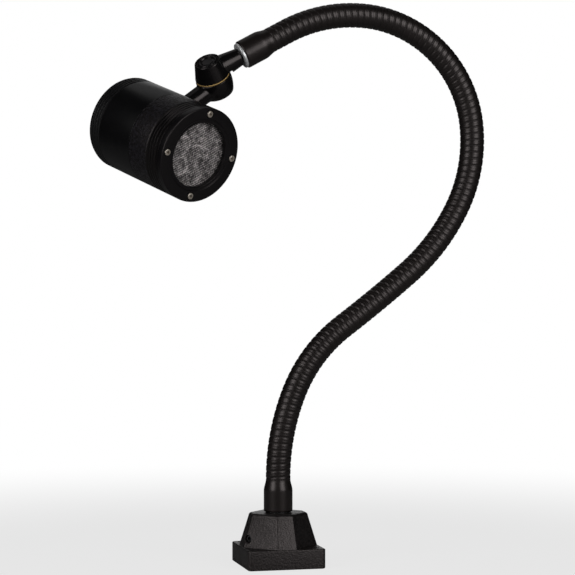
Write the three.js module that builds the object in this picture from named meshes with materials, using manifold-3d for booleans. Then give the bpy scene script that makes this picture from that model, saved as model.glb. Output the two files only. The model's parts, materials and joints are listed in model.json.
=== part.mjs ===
// Examination lamp: a bolt-down cast base, a flexible gooseneck, a friction knuckle and a round LED head.
// Millimetres, +Z up. The origin is the middle of the base's underside, and the base faces -Y.
// The neck lies in the XZ plane. Its arcs, its knuckle and its head are placed along one centre line.

import * as THREE from 'three';
import { mergeVertices } from 'three/addons/utils/BufferGeometryUtils.js';
import { ConvexGeometry } from 'three/addons/geometries/ConvexGeometry.js';
import Module from 'manifold-3d';

const GAP = 0.3; // room left between pieces that touch

// Base
const BLOCK_SIDE = 64;
const BLOCK_HEIGHT = 16;
const BLOCK_CORNER = 2;
const CASTING_TOP = 43;
const CASTING_FOOT_SIDE = 62;
const CASTING_FOOT_FLAT = 16;
const CASTING_TOP_SIDE = 47;
const CASTING_TOP_FLAT = 13;
const CASTING_TOP_ROUND = 2.5;
const BOLT_SPACING = 50;
const BOLT_HOLE = 5.5;
const SOCKET_FLOOR = 20;
const WIRE_BORE = 8;
const INLET_HEIGHT = 9;
const GROMMET_SIZE = 12;
const SIDE_SCREW = 5.7;
const SIDE_HEIGHT = 23;
const SIDE_OFFSET = 13;
const SIDE_SCREW_ENDS = [14.4, 23.4]; // from the base's axis
const LOCK_SCREW = 3;
const LOCK_HEIGHT = 33;
const LOCK_SCREW_ENDS = [9.8, 24.6];
const GRUB_SOCKET = 2.4;

// Neck
const COLLAR_TOP = 44;
const COLLAR_SIZE = 21;
const FERRULE_SIZE = 18.5;
const FERRULE_BORE = 12;
const FLANGE_SIZE = 21.4;
const FLANGE_THICK = 2;
const SLEEVE_SIZE = 23.6;
const SLEEVE_LENGTH = 18.5;
const SLEEVE_TAPER = 8;
const NECK_SIZE = 20;
const NECK_FOOT = 27;
const NECK_TIP = 42.2;
const ARC_LENGTH = 70.5;
const ARC_TURNS = [-21.5, -32, 3.5, 23, 32, 41, 40, 33]; // degrees, positive turns towards -X
const LEAD_BORE = 6;
const LINK_SPACE = 4; // from a hinge to the flat end of the link on either side of it
const BALL_SIZE = 15;
const BALL_STALK = 10;

// Knuckle
const KNUCKLE_ROLL = 31.9; // degrees about the end of the neck
const KNUCKLE_TILT = 14.3; // degrees between the two stems
const KNUCKLE_REACH = 30; // from the end of the neck to the knuckle's axis
const NECK_STEM_RISE = 4.3; // the neck's stem above the washer
const HEAD_STEM_DROP = 8.7; // the head's stem below the washer
const DRUM_HEIGHT = 15;
const LOWER_DRUM_HEIGHT = 16.5;
const WASHER_SIZE = 27.6;
const WASHER_THICK = 0.8;
const CLAMP_SHANK = 6;
const CLAMP_CAP = 16.4;
const CAP_DEPTH = 2.1;
const CAP_DISH = 0.8;
const WIRE_ROOM = 10;
const HEAD_STEM_SIZE = 16.8;

// Head
const STEM_TO_HEAD_AXIS = 71.6;
const HEAD_RADIUS = 38;
const HEAD_BACK = -32.5;
const HEAD_FRONT = 64.3;
const BODY_SEAM = 21.6;
const GRIP_GROOVES = 44.6; // where the front grooves start
const BEZEL_SEAM = 58.6;
const SPREADER_BACK = 9.6;
const LED_SEAT = 37.6;
const BODY_WALL = 4.5;
const FRONT_WALL = 9;
const WINDOW_RADIUS = 25.8;
const SEAL_THICK = 0.9;
const GLASS_RADIUS = 28.2;
const GLASS_THICK = 3;
const GLASS_TOP = 59.4;
const GLASS_LEDGE = 26.6; // radius inside the ledge that the window rests on
const LENS_PITCH = 16.6;
const LENS_RADIUS = 8;
const SCREW_CIRCLE = 33.1;
const SCREW_PHASE = 50.4; // degrees from the stem
const SCREW_HEAD = 5.2;
const SCREW_SHANK = 2.7;
const SPIGOT_RADIUS = 5;

const FINE = 40; // sides of the head's turned pieces
const ROUND = 24; // sides of the neck and the knuckle
const SMALL = 12; // sides of bores and fasteners

const wasm = await Module();
wasm.setup();

const degrees = THREE.MathUtils.degToRad;

// ---- solids -------------------------------------------------------------------------------------

function solid(geometry, matrix = new THREE.Matrix4()) {
  const points = geometry.clone().applyMatrix4(matrix);
  points.deleteAttribute('normal');
  points.deleteAttribute('uv');
  const merged = mergeVertices(points, 1e-4);
  const corners = merged.index.array;
  const kept = [];
  for (let i = 0; i < corners.length; i += 3) {
    const [a, b, c] = [corners[i], corners[i + 1], corners[i + 2]];
    if (a !== b && b !== c && c !== a) {
      kept.push(a, b, c);
    }
  }
  return new wasm.Manifold(new wasm.Mesh({
    numProp: 3,
    vertProperties: new Float32Array(merged.attributes.position.array),
    triVerts: new Uint32Array(kept),
  }));
}

function geometryOf(body) {
  const mesh = body.getMesh();
  const geometry = new THREE.BufferGeometry();
  geometry.setAttribute('position', new THREE.BufferAttribute(mesh.vertProperties, mesh.numProp));
  geometry.setIndex(new THREE.BufferAttribute(mesh.triVerts, 1));
  geometry.computeVertexNormals();
  return geometry;
}

// A solid of revolution about Z. The profile's [radius, height] points run counter-clockwise.
function turned(profile, sides) {
  const points = profile.map(([radius, height]) => new THREE.Vector2(radius, height));
  return new THREE.LatheGeometry(points, sides).rotateX(Math.PI / 2);
}

function rod(radius, low, high, sides) {
  return turned([[0, low], [radius, low], [radius, high], [0, high]], sides);
}

function ring(inner, outer, low, high, sides) {
  return turned([[inner, low], [outer, low], [outer, high], [inner, high], [inner, low]], sides);
}

function ball(radius, sides) {
  return new THREE.SphereGeometry(radius, sides, sides / 2).rotateX(Math.PI / 2);
}

function moved(x, y, z) {
  return new THREE.Matrix4().makeTranslation(x, y, z);
}

// A frame at an origin with its Z along one direction and its X as near as can be to another.
function aimed(origin, zAxis, xHint) {
  const z = zAxis.clone().normalize();
  const y = new THREE.Vector3().crossVectors(z, xHint).normalize();
  const x = new THREE.Vector3().crossVectors(y, z);
  return new THREE.Matrix4().makeBasis(x, y, z).setPosition(origin);
}

function part(name, geometry, material) {
  const mesh = new THREE.Mesh(geometry, material);
  mesh.name = name;
  return mesh;
}

function finish(color, roughness, metalness) {
  return new THREE.MeshStandardMaterial({ color, roughness, metalness });
}

const castPaint = finish(0x232223, 0.62, 0.1);
const sheathVinyl = finish(0x171616, 0.45, 0);
const glossPaint = finish(0x0d0d0e, 0.16, 0.2);
const anodised = finish(0x1d1d21, 0.38, 0.6);
const rubber = finish(0x0c0c0c, 0.8, 0);
const steel = finish(0xb9b4ab, 0.3, 1);
const darkSteel = finish(0x3a3a3c, 0.4, 1);
const brass = finish(0xc79a45, 0.28, 1);
const glassFinish = finish(0xc9cccb, 0.12, 0);
const lensFinish = finish(0xe2e2df, 0.1, 0);
const bareAluminium = finish(0xa9abae, 0.42, 1);
const boardWhite = finish(0xdedcd2, 0.5, 0);
const boardGreen = finish(0x1f4a2c, 0.5, 0);

// ---- the neck's centre line ---------------------------------------------------------------------

const neckRuns = [
  [NECK_FOOT, 0],
  ...ARC_TURNS.map((turn) => [ARC_LENGTH, degrees(turn)]),
  [NECK_TIP, 0],
];
const NECK_LENGTH = neckRuns.reduce((sum, [length]) => sum + length, 0);

function neckAt(distance) {
  let x = 0;
  let z = COLLAR_TOP;
  let heading = Math.PI / 2;
  let left = distance;
  for (const [length, turn] of neckRuns) {
    const walked = Math.min(left, length);
    const swing = turn * walked / length;
    const chord = swing === 0 ? walked : walked * Math.sin(swing / 2) / (swing / 2);
    x += chord * Math.cos(heading + swing / 2);
    z += chord * Math.sin(heading + swing / 2);
    heading += swing;
    left -= walked;
  }
  return { x, z, heading };
}

// The frame at a place on the centre line: Z runs along the neck and Y is the base's own Y.
function neckFrame(distance) {
  const { x, z, heading } = neckAt(distance);
  const along = new THREE.Vector3(Math.cos(heading), 0, Math.sin(heading));
  const side = new THREE.Vector3(Math.sin(heading), 0, -Math.cos(heading));
  return aimed(new THREE.Vector3(x, 0, z), along, side);
}

class NeckRun extends THREE.Curve {
  constructor(from, to) {
    super();
    this.from = from;
    this.to = to;
  }

  getPoint(share) {
    const { x, z } = neckAt(this.from + (this.to - this.from) * share);
    return new THREE.Vector3(x, 0, z);
  }
}

function neckRod(radius, from, to, sides) {
  const outline = new THREE.Shape().absarc(0, 0, radius, 0, 2 * Math.PI);
  return new THREE.ExtrudeGeometry(outline, {
    extrudePath: new NeckRun(from, to),
    steps: Math.max(2, Math.round((to - from) / 11)),
    curveSegments: sides / 2,
  });
}

function hingeDistance(number) {
  return NECK_FOOT + ARC_LENGTH * (number - 0.5);
}

// A ball on a stalk at a hinge, which the next link's cup turns about.
function hingeBall(hinge) {
  const frame = neckFrame(hinge);
  const stalk = solid(rod(BALL_STALK / 2, -LINK_SPACE - 2, 0, SMALL), frame);
  return stalk.add(solid(ball(BALL_SIZE / 2, ROUND * 2 / 3), frame));
}

function hingeCup(hinge) {
  return solid(ball(BALL_SIZE / 2 + GAP, ROUND * 2 / 3), neckFrame(hinge));
}

// ---- base ---------------------------------------------------------------------------------------

function chamferedSquare(side, corner) {
  const half = side / 2;
  const cut = half - corner;
  const outline = new THREE.Shape();
  outline.moveTo(half, -cut);
  outline.lineTo(half, cut);
  outline.lineTo(cut, half);
  outline.lineTo(-cut, half);
  outline.lineTo(-half, cut);
  outline.lineTo(-half, -cut);
  outline.lineTo(-cut, -half);
  outline.lineTo(cut, -half);
  outline.closePath();
  return outline;
}

function octagonCorners(side, flat, height) {
  const corners = [];
  for (const [a, b] of [[side / 2, flat / 2], [flat / 2, side / 2]]) {
    for (const x of [-a, a]) {
      for (const y of [-b, b]) {
        corners.push(new THREE.Vector3(x, y, height));
      }
    }
  }
  return corners;
}

function taperedOctagon() {
  const round = CASTING_TOP_ROUND;
  return new ConvexGeometry([
    ...octagonCorners(CASTING_FOOT_SIDE, CASTING_FOOT_FLAT, BLOCK_HEIGHT - 1),
    ...octagonCorners(CASTING_FOOT_SIDE, CASTING_FOOT_FLAT, BLOCK_HEIGHT),
    ...octagonCorners(CASTING_TOP_SIDE, CASTING_TOP_FLAT, CASTING_TOP - round),
    ...octagonCorners(CASTING_TOP_SIDE - 2 * round, CASTING_TOP_FLAT - round, CASTING_TOP),
  ]);
}

// The side screw's frame: Z points out of the front left face of the casting.
function sideFrame() {
  const out = new THREE.Vector3(-1, -1, 0).normalize();
  const along = new THREE.Vector3(-1, 1, 0).normalize();
  return aimed(along.clone().multiplyScalar(SIDE_OFFSET).setZ(SIDE_HEIGHT), out, along);
}

function lockFrame() {
  const middle = new THREE.Vector3(0, 0, LOCK_HEIGHT);
  return aimed(middle, new THREE.Vector3(-1, 0, 0), new THREE.Vector3(0, 0, 1));
}

function inletFrame() {
  const middle = new THREE.Vector3(0, 0, INLET_HEIGHT);
  return aimed(middle, new THREE.Vector3(0, 1, 0), new THREE.Vector3(1, 0, 0));
}

function baseCasting() {
  const block = new THREE.ExtrudeGeometry(chamferedSquare(BLOCK_SIDE, BLOCK_CORNER), {
    depth: BLOCK_HEIGHT,
    bevelEnabled: false,
  });
  let body = solid(block).add(solid(taperedOctagon()));
  for (const x of [-BOLT_SPACING / 2, BOLT_SPACING / 2]) {
    for (const y of [-BOLT_SPACING / 2, BOLT_SPACING / 2]) {
      body = body.subtract(solid(rod(BOLT_HOLE / 2, -1, BLOCK_HEIGHT + 1, 16), moved(x, y, 0)));
    }
  }
  const half = BLOCK_SIDE / 2;
  body = body.subtract(solid(rod(FERRULE_SIZE / 2 + GAP, SOCKET_FLOOR, CASTING_TOP + 1, ROUND)));
  body = body.subtract(solid(rod(WIRE_BORE / 2, INLET_HEIGHT - 1, SOCKET_FLOOR + 1, SMALL)));
  body = body.subtract(solid(rod(WIRE_BORE / 2, 0, half, SMALL), inletFrame()));
  body = body.subtract(solid(rod(GROMMET_SIZE / 2 + GAP, half - 4, half + 1, 16), inletFrame()));
  const sideHole = rod(SIDE_SCREW / 2 + GAP, SIDE_SCREW_ENDS[0] - GAP, BLOCK_SIDE, SMALL);
  const lockHole = rod(LOCK_SCREW / 2 + GAP, FERRULE_SIZE / 2 - 1, BLOCK_SIDE, SMALL);
  body = body.subtract(solid(sideHole, sideFrame()));
  body = body.subtract(solid(lockHole, lockFrame()));
  return part('base_casting', geometryOf(body), castPaint);
}

function cableGrommet() {
  const half = BLOCK_SIDE / 2;
  const bore = WIRE_BORE / 2 - 0.7;
  const outer = GROMMET_SIZE / 2;
  const lip = outer + 1.8;
  const grommet = turned([
    [bore, half - 3.6], [outer, half - 3.6], [outer, half + GAP], [lip, half + GAP],
    [lip, half + 1.4], [lip - 0.8, half + 2.2], [bore, half + 2.2], [bore, half - 3.6],
  ], 16).applyMatrix4(inletFrame());
  return part('cable_grommet', grommet, rubber);
}

function grubScrew(name, size, [inner, outer], frame) {
  const socket = rod(size / 3.4, outer - GRUB_SOCKET, outer + 1, 6);
  const body = solid(rod(size / 2, inner, outer, SMALL)).subtract(solid(socket));
  return part(name, geometryOf(body).applyMatrix4(frame), darkSteel);
}

function neckCollar() {
  const inner = FERRULE_SIZE / 2 + GAP;
  const collar = ring(inner, COLLAR_SIZE / 2, CASTING_TOP + GAP, COLLAR_TOP, ROUND);
  return part('neck_collar', collar, glossPaint);
}

function lowerFerrule() {
  const top = COLLAR_TOP + SLEEVE_LENGTH - 1;
  const ferrule = ring(FERRULE_BORE / 2, FERRULE_SIZE / 2, SOCKET_FLOOR + GAP, top, ROUND);
  return part('lower_ferrule', ferrule, steel);
}

// ---- neck ---------------------------------------------------------------------------------------

// The sheathed ferrule's outline from the flat end of a sleeve, at height 0, into the thin neck.
function sleeve(frame) {
  const outline = [
    [0, GAP], [SLEEVE_SIZE / 2, GAP], [SLEEVE_SIZE / 2, SLEEVE_LENGTH],
    [NECK_SIZE / 2, SLEEVE_LENGTH + SLEEVE_TAPER], [0, SLEEVE_LENGTH + SLEEVE_TAPER],
  ];
  const pocket = rod(FERRULE_SIZE / 2 + GAP, 0, SLEEVE_LENGTH - 0.7, ROUND);
  return solid(turned(outline, ROUND), frame).subtract(solid(pocket, frame));
}

function neckFoot() {
  const hinge = hingeDistance(1);
  const body = sleeve(neckFrame(0))
    .add(solid(neckRod(NECK_SIZE / 2, NECK_FOOT - 1, hinge - LINK_SPACE, ROUND)))
    .add(hingeBall(hinge))
    .subtract(solid(neckRod(LEAD_BORE / 2, SLEEVE_LENGTH - 2, hinge + BALL_SIZE, SMALL)));
  return part('neck_foot', geometryOf(body), sheathVinyl);
}

function neckLink(number) {
  const from = hingeDistance(number);
  const to = hingeDistance(number + 1);
  const body = solid(neckRod(NECK_SIZE / 2, from + LINK_SPACE, to - LINK_SPACE, ROUND))
    .subtract(hingeCup(from))
    .add(hingeBall(to))
    .subtract(solid(neckRod(LEAD_BORE / 2, from, to + BALL_SIZE, SMALL)));
  return part(`neck_link_${number}`, geometryOf(body), sheathVinyl);
}

function neckTip() {
  const hinge = hingeDistance(ARC_TURNS.length);
  const flipped = neckFrame(NECK_LENGTH).multiply(new THREE.Matrix4().makeRotationX(Math.PI));
  const shoulder = NECK_LENGTH - SLEEVE_LENGTH - SLEEVE_TAPER + 1;
  const body = solid(neckRod(NECK_SIZE / 2, hinge + LINK_SPACE, shoulder, ROUND))
    .subtract(hingeCup(hinge))
    .add(sleeve(flipped))
    .subtract(solid(neckRod(LEAD_BORE / 2, hinge, NECK_LENGTH - SLEEVE_LENGTH + 2, SMALL)));
  return part('neck_tip', geometryOf(body), sheathVinyl);
}

// The ferrule's flange shows as a bright ring between the sleeve and the knuckle's stem.
function upperFerrule() {
  const bore = FERRULE_BORE / 2;
  const body = FERRULE_SIZE / 2;
  const flange = FLANGE_SIZE / 2;
  const foot = 1 - SLEEVE_LENGTH;
  const ferrule = turned([
    [bore, foot], [body, foot], [body, 0], [flange, 0],
    [flange, FLANGE_THICK], [bore, FLANGE_THICK], [bore, foot],
  ], ROUND);
  return part('upper_ferrule', ferrule.applyMatrix4(neckFrame(NECK_LENGTH)), steel);
}

// ---- knuckle, in its own frame: Z is the knuckle's axis and X points to the neck -----------------

function alongX(height) {
  return aimed(new THREE.Vector3(0, 0, height), new THREE.Vector3(1, 0, 0), new THREE.Vector3(0, 0, -1));
}

function knuckleUpper() {
  const low = WASHER_THICK / 2 + GAP;
  const face = KNUCKLE_REACH - FLANGE_THICK - GAP;
  const drum = turned([
    [0, low], [13.6, low], [14.2, 2], [14.2, 4.2], [13.1, DRUM_HEIGHT - 5],
    [12.2, DRUM_HEIGHT - 2.4], [10.8, DRUM_HEIGHT - 0.8], [9.2, DRUM_HEIGHT], [0, DRUM_HEIGHT],
  ], ROUND);
  const stem = turned([
    [0, 0], [9.4, 0], [9.4, 12], [7.6, face], [FERRULE_BORE / 2 - GAP, face],
    [FERRULE_BORE / 2 - GAP, face + 13], [0, face + 13],
  ], ROUND);
  const body = solid(stem, alongX(NECK_STEM_RISE))
    .subtract(solid(rod(17, -DRUM_HEIGHT, low, ROUND)))
    .subtract(solid(rod(12, DRUM_HEIGHT, 2 * DRUM_HEIGHT, ROUND)))
    .add(solid(drum))
    .subtract(solid(rod(LEAD_BORE / 2, 0, 2 * KNUCKLE_REACH, SMALL), alongX(NECK_STEM_RISE)))
    .subtract(solid(rod(WIRE_ROOM / 2, 0, NECK_STEM_RISE + 2, SMALL)))
    .subtract(solid(rod(CLAMP_SHANK / 2 + GAP, 0, 2 * DRUM_HEIGHT, SMALL)))
    .subtract(solid(rod(CLAMP_CAP / 2 + GAP, DRUM_HEIGHT - CAP_DEPTH - GAP, 2 * DRUM_HEIGHT, ROUND)));
  return part('knuckle_upper', geometryOf(body), glossPaint);
}

// The clamp screw's plain round cap is dished inside a narrow rim.
function clampScrew() {
  const low = DRUM_HEIGHT - CAP_DEPTH;
  const high = DRUM_HEIGHT + 0.2;
  const shank = CLAMP_SHANK / 2;
  const rim = CLAMP_CAP / 2;
  const screw = turned([
    [0, -LOWER_DRUM_HEIGHT + 0.6], [shank, -LOWER_DRUM_HEIGHT + 0.6], [shank, low],
    [rim, low], [rim, high - 0.5], [rim - 0.5, high], [rim - 1.3, high],
    [rim - 2.4, high - CAP_DISH], [0, high - CAP_DISH],
  ], ROUND);
  return part('clamp_screw', screw, glossPaint);
}

function frictionWasher() {
  const half = WASHER_THICK / 2;
  return part('friction_washer', ring(WIRE_ROOM / 2 + 0.2, WASHER_SIZE / 2, -half, half, ROUND), brass);
}

function springWasher() {
  const top = -LOWER_DRUM_HEIGHT + 5.2;
  const cone = turned([
    [CLAMP_SHANK / 2 + GAP, top - 0.8], [6.6, top - 1.2], [6.6, top - 0.4],
    [CLAMP_SHANK / 2 + GAP, top], [CLAMP_SHANK / 2 + GAP, top - 0.8],
  ], ROUND);
  return part('spring_washer', cone, steel);
}

function hexNut(name, bore, across, low, high, material) {
  const hole = rod(bore / 2, low - 1, high + 1, SMALL);
  const body = solid(rod(across / Math.sqrt(3), low, high, 6)).subtract(solid(hole));
  return part(name, geometryOf(body), material);
}

function clampNut() {
  const top = -LOWER_DRUM_HEIGHT + 3.7;
  return hexNut('clamp_nut', CLAMP_SHANK + 2 * GAP, 10, top - 3, top, darkSteel);
}

// ---- the head's arm, in the knuckle's frame turned by the tilt -----------------------------------

function knuckleLower() {
  const top = -WASHER_THICK / 2 - GAP;
  const low = -LOWER_DRUM_HEIGHT;
  const drum = turned([
    [0, low], [12, low], [13.1, low + 0.9], [14.6, low + 5.5], [15.3, low + 10.5],
    [15, -2.6], [13.9, top], [0, top],
  ], ROUND);
  const stemLength = STEM_TO_HEAD_AXIS - HEAD_RADIUS + 6;
  const toHead = alongX(-HEAD_STEM_DROP).multiply(new THREE.Matrix4().makeRotationX(Math.PI));
  const stem = turned([
    [0, 0], [HEAD_STEM_SIZE / 2 - 0.3, 0], [HEAD_STEM_SIZE / 2, stemLength], [0, stemLength],
  ], ROUND);
  const spigot = rod(SPIGOT_RADIUS, stemLength - 8, STEM_TO_HEAD_AXIS - HEAD_RADIUS + 13, SMALL);
  const headRoom = aimed(
    new THREE.Vector3(-STEM_TO_HEAD_AXIS, 0, -HEAD_STEM_DROP),
    new THREE.Vector3(0, -1, 0),
    new THREE.Vector3(1, 0, 0),
  );
  const body = solid(stem, toHead)
    .subtract(solid(rod(HEAD_RADIUS + GAP, -20, 20, FINE * 2), headRoom))
    .subtract(solid(rod(17, top, DRUM_HEIGHT, ROUND)))
    .add(solid(spigot, toHead))
    .add(solid(drum))
    .subtract(solid(rod(LEAD_BORE / 2, 0, 2 * STEM_TO_HEAD_AXIS, SMALL), toHead))
    .subtract(solid(rod(WIRE_ROOM / 2, -HEAD_STEM_DROP - 1, 0, SMALL)))
    .subtract(solid(rod(CLAMP_SHANK / 2 + GAP, -DRUM_HEIGHT, 0, SMALL)))
    .subtract(solid(rod(7.2, low - 1, low + 5.5, ROUND)));
  return part('knuckle_lower', geometryOf(body), glossPaint);
}

// ---- head, in its own frame: Z points out of the window and X points to the knuckle --------------

// The radius and height steps of equal grooves that follow one another up a turned wall.
function grooves(radius, start, pitch, count, depth) {
  const steps = [];
  for (let i = 0; i < count; i += 1) {
    const height = start + pitch * i;
    steps.push([radius, height], [radius - depth, height + pitch * 0.22]);
    steps.push([radius - depth, height + pitch * 0.5], [radius, height + pitch * 0.72]);
  }
  return steps;
}

function headBody() {
  const inner = HEAD_RADIUS - BODY_WALL;
  const back = HEAD_BACK + 2.4;
  const shell = turned([
    [inner, back], [HEAD_RADIUS, back], ...grooves(HEAD_RADIUS, HEAD_BACK + 3.4, 3, 4, 0.8),
    [HEAD_RADIUS, BODY_SEAM], [inner, BODY_SEAM], [inner, back],
  ], FINE);
  const hole = rod(SPIGOT_RADIUS + GAP, 0, HEAD_RADIUS + 5, SMALL);
  const body = solid(shell).subtract(solid(hole, alongX(0)));
  return part('head_body', geometryOf(body), anodised);
}

function rearCover() {
  const inner = HEAD_RADIUS - BODY_WALL - GAP;
  const cover = turned([
    [0, HEAD_BACK], [HEAD_RADIUS - 2, HEAD_BACK], [HEAD_RADIUS - 0.6, HEAD_BACK + 1.2],
    [HEAD_RADIUS - 0.6, HEAD_BACK + 2.1], [inner, HEAD_BACK + 2.1], [inner, HEAD_BACK + 6],
    [inner - 2, HEAD_BACK + 6], [inner - 2, HEAD_BACK + 3], [0, HEAD_BACK + 3],
  ], FINE);
  return part('rear_cover', cover, anodised);
}

function stemNut() {
  const top = HEAD_RADIUS - BODY_WALL - 2;
  const nut = hexNut('stem_nut', 2 * (SPIGOT_RADIUS + GAP), 15, top - 4.6, top, steel);
  nut.geometry.applyMatrix4(alongX(0));
  return nut;
}

function driverBoard() {
  let body = solid(rod(29, -17, -15.4, FINE / 2));
  for (const [x, y, wide, tall] of [[8, 6, 9, 9], [-9, 7, 7, 6], [-2, -10, 12, 5]]) {
    const component = new THREE.BoxGeometry(wide, wide, tall + 0.4).translate(x, y, -15.6 + tall / 2);
    body = body.add(solid(component));
  }
  return part('driver_board', geometryOf(body), boardGreen);
}

function heatSpreader() {
  const inner = HEAD_RADIUS - BODY_WALL - GAP;
  const seat = HEAD_RADIUS - FRONT_WALL - GAP;
  const disc = turned([
    [LEAD_BORE / 2, SPREADER_BACK], [inner, SPREADER_BACK], [inner, BODY_SEAM - 1],
    [seat, BODY_SEAM - 1], [seat, LED_SEAT], [LEAD_BORE / 2, LED_SEAT], [LEAD_BORE / 2, SPREADER_BACK],
  ], FINE);
  return part('heat_spreader', disc, bareAluminium);
}

// Middles of a hexagonal cluster: one in the centre and six round it.
function clusterPlaces() {
  const places = [[0, 0]];
  for (let i = 0; i < 6; i += 1) {
    places.push([LENS_PITCH * Math.cos(i * Math.PI / 3), LENS_PITCH * Math.sin(i * Math.PI / 3)]);
  }
  return places;
}

function ledBoard() {
  let body = solid(rod(27.6, LED_SEAT + GAP, LED_SEAT + 1.9, FINE / 2));
  for (const [x, y] of clusterPlaces()) {
    body = body.add(solid(new THREE.BoxGeometry(3.4, 3.4, 2), moved(x, y, LED_SEAT + 2)));
  }
  return part('led_board', geometryOf(body), boardWhite);
}

function lensCluster() {
  const foot = LED_SEAT + 4;
  const crown = LED_SEAT + 17;
  const cup = turned([
    [0, foot], [3.4, foot], [LENS_RADIUS, crown - 1.6], [LENS_RADIUS, crown], [0, crown],
  ], ROUND * 2 / 3);
  let body = solid(rod(27.6, crown - 2.2, crown - 1, FINE / 2));
  for (const [x, y] of clusterPlaces()) {
    body = body.add(solid(cup, moved(x, y, 0)));
  }
  return part('lens_cluster', geometryOf(body), lensFinish);
}

function screwPlaces() {
  const places = [];
  for (let i = 0; i < 4; i += 1) {
    const angle = degrees(SCREW_PHASE + 90 * i);
    places.push([SCREW_CIRCLE * Math.cos(angle), SCREW_CIRCLE * Math.sin(angle)]);
  }
  return places;
}

function headFront() {
  const inner = HEAD_RADIUS - FRONT_WALL;
  const ledge = GLASS_TOP - GLASS_THICK - GAP;
  const shell = turned([
    [inner, BODY_SEAM + GAP], [HEAD_RADIUS, BODY_SEAM + GAP],
    ...grooves(HEAD_RADIUS, GRIP_GROOVES, 3.2, 4, 0.9),
    [HEAD_RADIUS, BEZEL_SEAM - GAP], [inner, BEZEL_SEAM - GAP], [inner, ledge], [GLASS_LEDGE, ledge],
    [GLASS_LEDGE, ledge - 1.2], [inner, ledge - 1.2], [inner, BODY_SEAM + GAP],
  ], FINE);
  const hole = solid(rod(SCREW_SHANK / 2 + GAP, BEZEL_SEAM - 10, BEZEL_SEAM + 1, SMALL));
  let body = solid(shell);
  for (const [x, y] of screwPlaces()) {
    body = body.subtract(hole.translate([x, y, 0]));
  }
  return part('head_front', geometryOf(body), anodised);
}

function glassWindow() {
  return part('glass', rod(GLASS_RADIUS, GLASS_TOP - GLASS_THICK, GLASS_TOP, FINE), glassFinish);
}

function glassSeal() {
  const inner = WINDOW_RADIUS + 0.4;
  const low = GLASS_TOP + GAP;
  return part('glass_seal', ring(inner, GLASS_RADIUS, low, low + SEAL_THICK, FINE), rubber);
}

function bezel() {
  const seat = GLASS_RADIUS + GAP;
  const lip = GLASS_TOP + SEAL_THICK + 2 * GAP;
  const ringBody = turned([
    [seat, BEZEL_SEAM], [HEAD_RADIUS, BEZEL_SEAM], [HEAD_RADIUS, HEAD_FRONT - 0.9],
    [HEAD_RADIUS - 0.9, HEAD_FRONT], [WINDOW_RADIUS + 3, HEAD_FRONT],
    [WINDOW_RADIUS + 2, HEAD_FRONT - 0.7], [WINDOW_RADIUS + 0.6, HEAD_FRONT - 0.7],
    [WINDOW_RADIUS, HEAD_FRONT - 1.9], [WINDOW_RADIUS, lip], [seat, lip], [seat, BEZEL_SEAM],
  ], FINE);
  const hole = solid(rod(SCREW_SHANK / 2 + GAP, BEZEL_SEAM - 1, HEAD_FRONT + 1, SMALL));
  const pocket = solid(rod(SCREW_HEAD / 2 + GAP, HEAD_FRONT - 1.6, HEAD_FRONT + 1, SMALL));
  let body = solid(ringBody);
  for (const [x, y] of screwPlaces()) {
    body = body.subtract(hole.translate([x, y, 0])).subtract(pocket.translate([x, y, 0]));
  }
  return part('bezel', geometryOf(body), anodised);
}

function bezelScrew(number) {
  const seat = HEAD_FRONT - 1.3;
  const crown = HEAD_FRONT + 0.5;
  const outline = turned([
    [0, BEZEL_SEAM - 9], [SCREW_SHANK / 2, BEZEL_SEAM - 9], [SCREW_SHANK / 2, seat],
    [SCREW_HEAD / 2, seat], [SCREW_HEAD / 2, crown - 0.7], [SCREW_HEAD / 2 - 0.7, crown], [0, crown],
  ], SMALL);
  const [x, y] = screwPlaces()[number - 1];
  const body = solid(outline).subtract(solid(rod(1.2, crown - 1.3, crown + 1, 6)));
  return part(`bezel_screw_${number}`, geometryOf(body).translate(x, y, 0), steel);
}

// ---- assembly -----------------------------------------------------------------------------------

function headGroup() {
  const head = new THREE.Group();
  const axes = aimed(
    new THREE.Vector3(-STEM_TO_HEAD_AXIS, 0, -HEAD_STEM_DROP),
    new THREE.Vector3(0, -1, 0),
    new THREE.Vector3(1, 0, 0),
  );
  head.applyMatrix4(axes);
  head.add(headBody(), rearCover(), stemNut(), driverBoard(), heatSpreader(), ledBoard(), lensCluster());
  head.add(headFront(), glassWindow(), glassSeal(), bezel());
  for (let number = 1; number <= 4; number += 1) {
    head.add(bezelScrew(number));
  }
  return head;
}

function armGroup() {
  const arm = new THREE.Group();
  arm.rotation.z = degrees(KNUCKLE_TILT);
  arm.add(knuckleLower(), headGroup());
  return arm;
}

function knuckleGroup() {
  const roll = degrees(KNUCKLE_ROLL);
  const neckEnd = neckFrame(NECK_LENGTH);
  const axis = new THREE.Vector3(Math.cos(roll), -Math.sin(roll), 0);
  const origin = axis.clone().multiplyScalar(-NECK_STEM_RISE).setZ(KNUCKLE_REACH);
  const knuckle = new THREE.Group();
  knuckle.applyMatrix4(neckEnd.multiply(aimed(origin, axis, new THREE.Vector3(0, 0, -1))));
  knuckle.add(knuckleUpper(), clampScrew(), frictionWasher(), springWasher(), clampNut(), armGroup());
  return knuckle;
}

const lamp = new THREE.Group();
lamp.add(baseCasting(), cableGrommet(), neckCollar(), lowerFerrule(), neckFoot());
lamp.add(grubScrew('side_screw', SIDE_SCREW, SIDE_SCREW_ENDS, sideFrame()));
lamp.add(grubScrew('lock_screw', LOCK_SCREW, LOCK_SCREW_ENDS, lockFrame()));
for (let number = 1; number < ARC_TURNS.length; number += 1) {
  lamp.add(neckLink(number));
}
lamp.add(neckTip(), upperFerrule(), knuckleGroup());

export default lamp;
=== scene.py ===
"""Examination lamp: the fine surfaces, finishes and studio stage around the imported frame."""

import json
import math

import bmesh
import bpy
from bpy.props import FloatProperty, FloatVectorProperty, IntProperty, PointerProperty
from mathutils import Matrix, Vector


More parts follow.
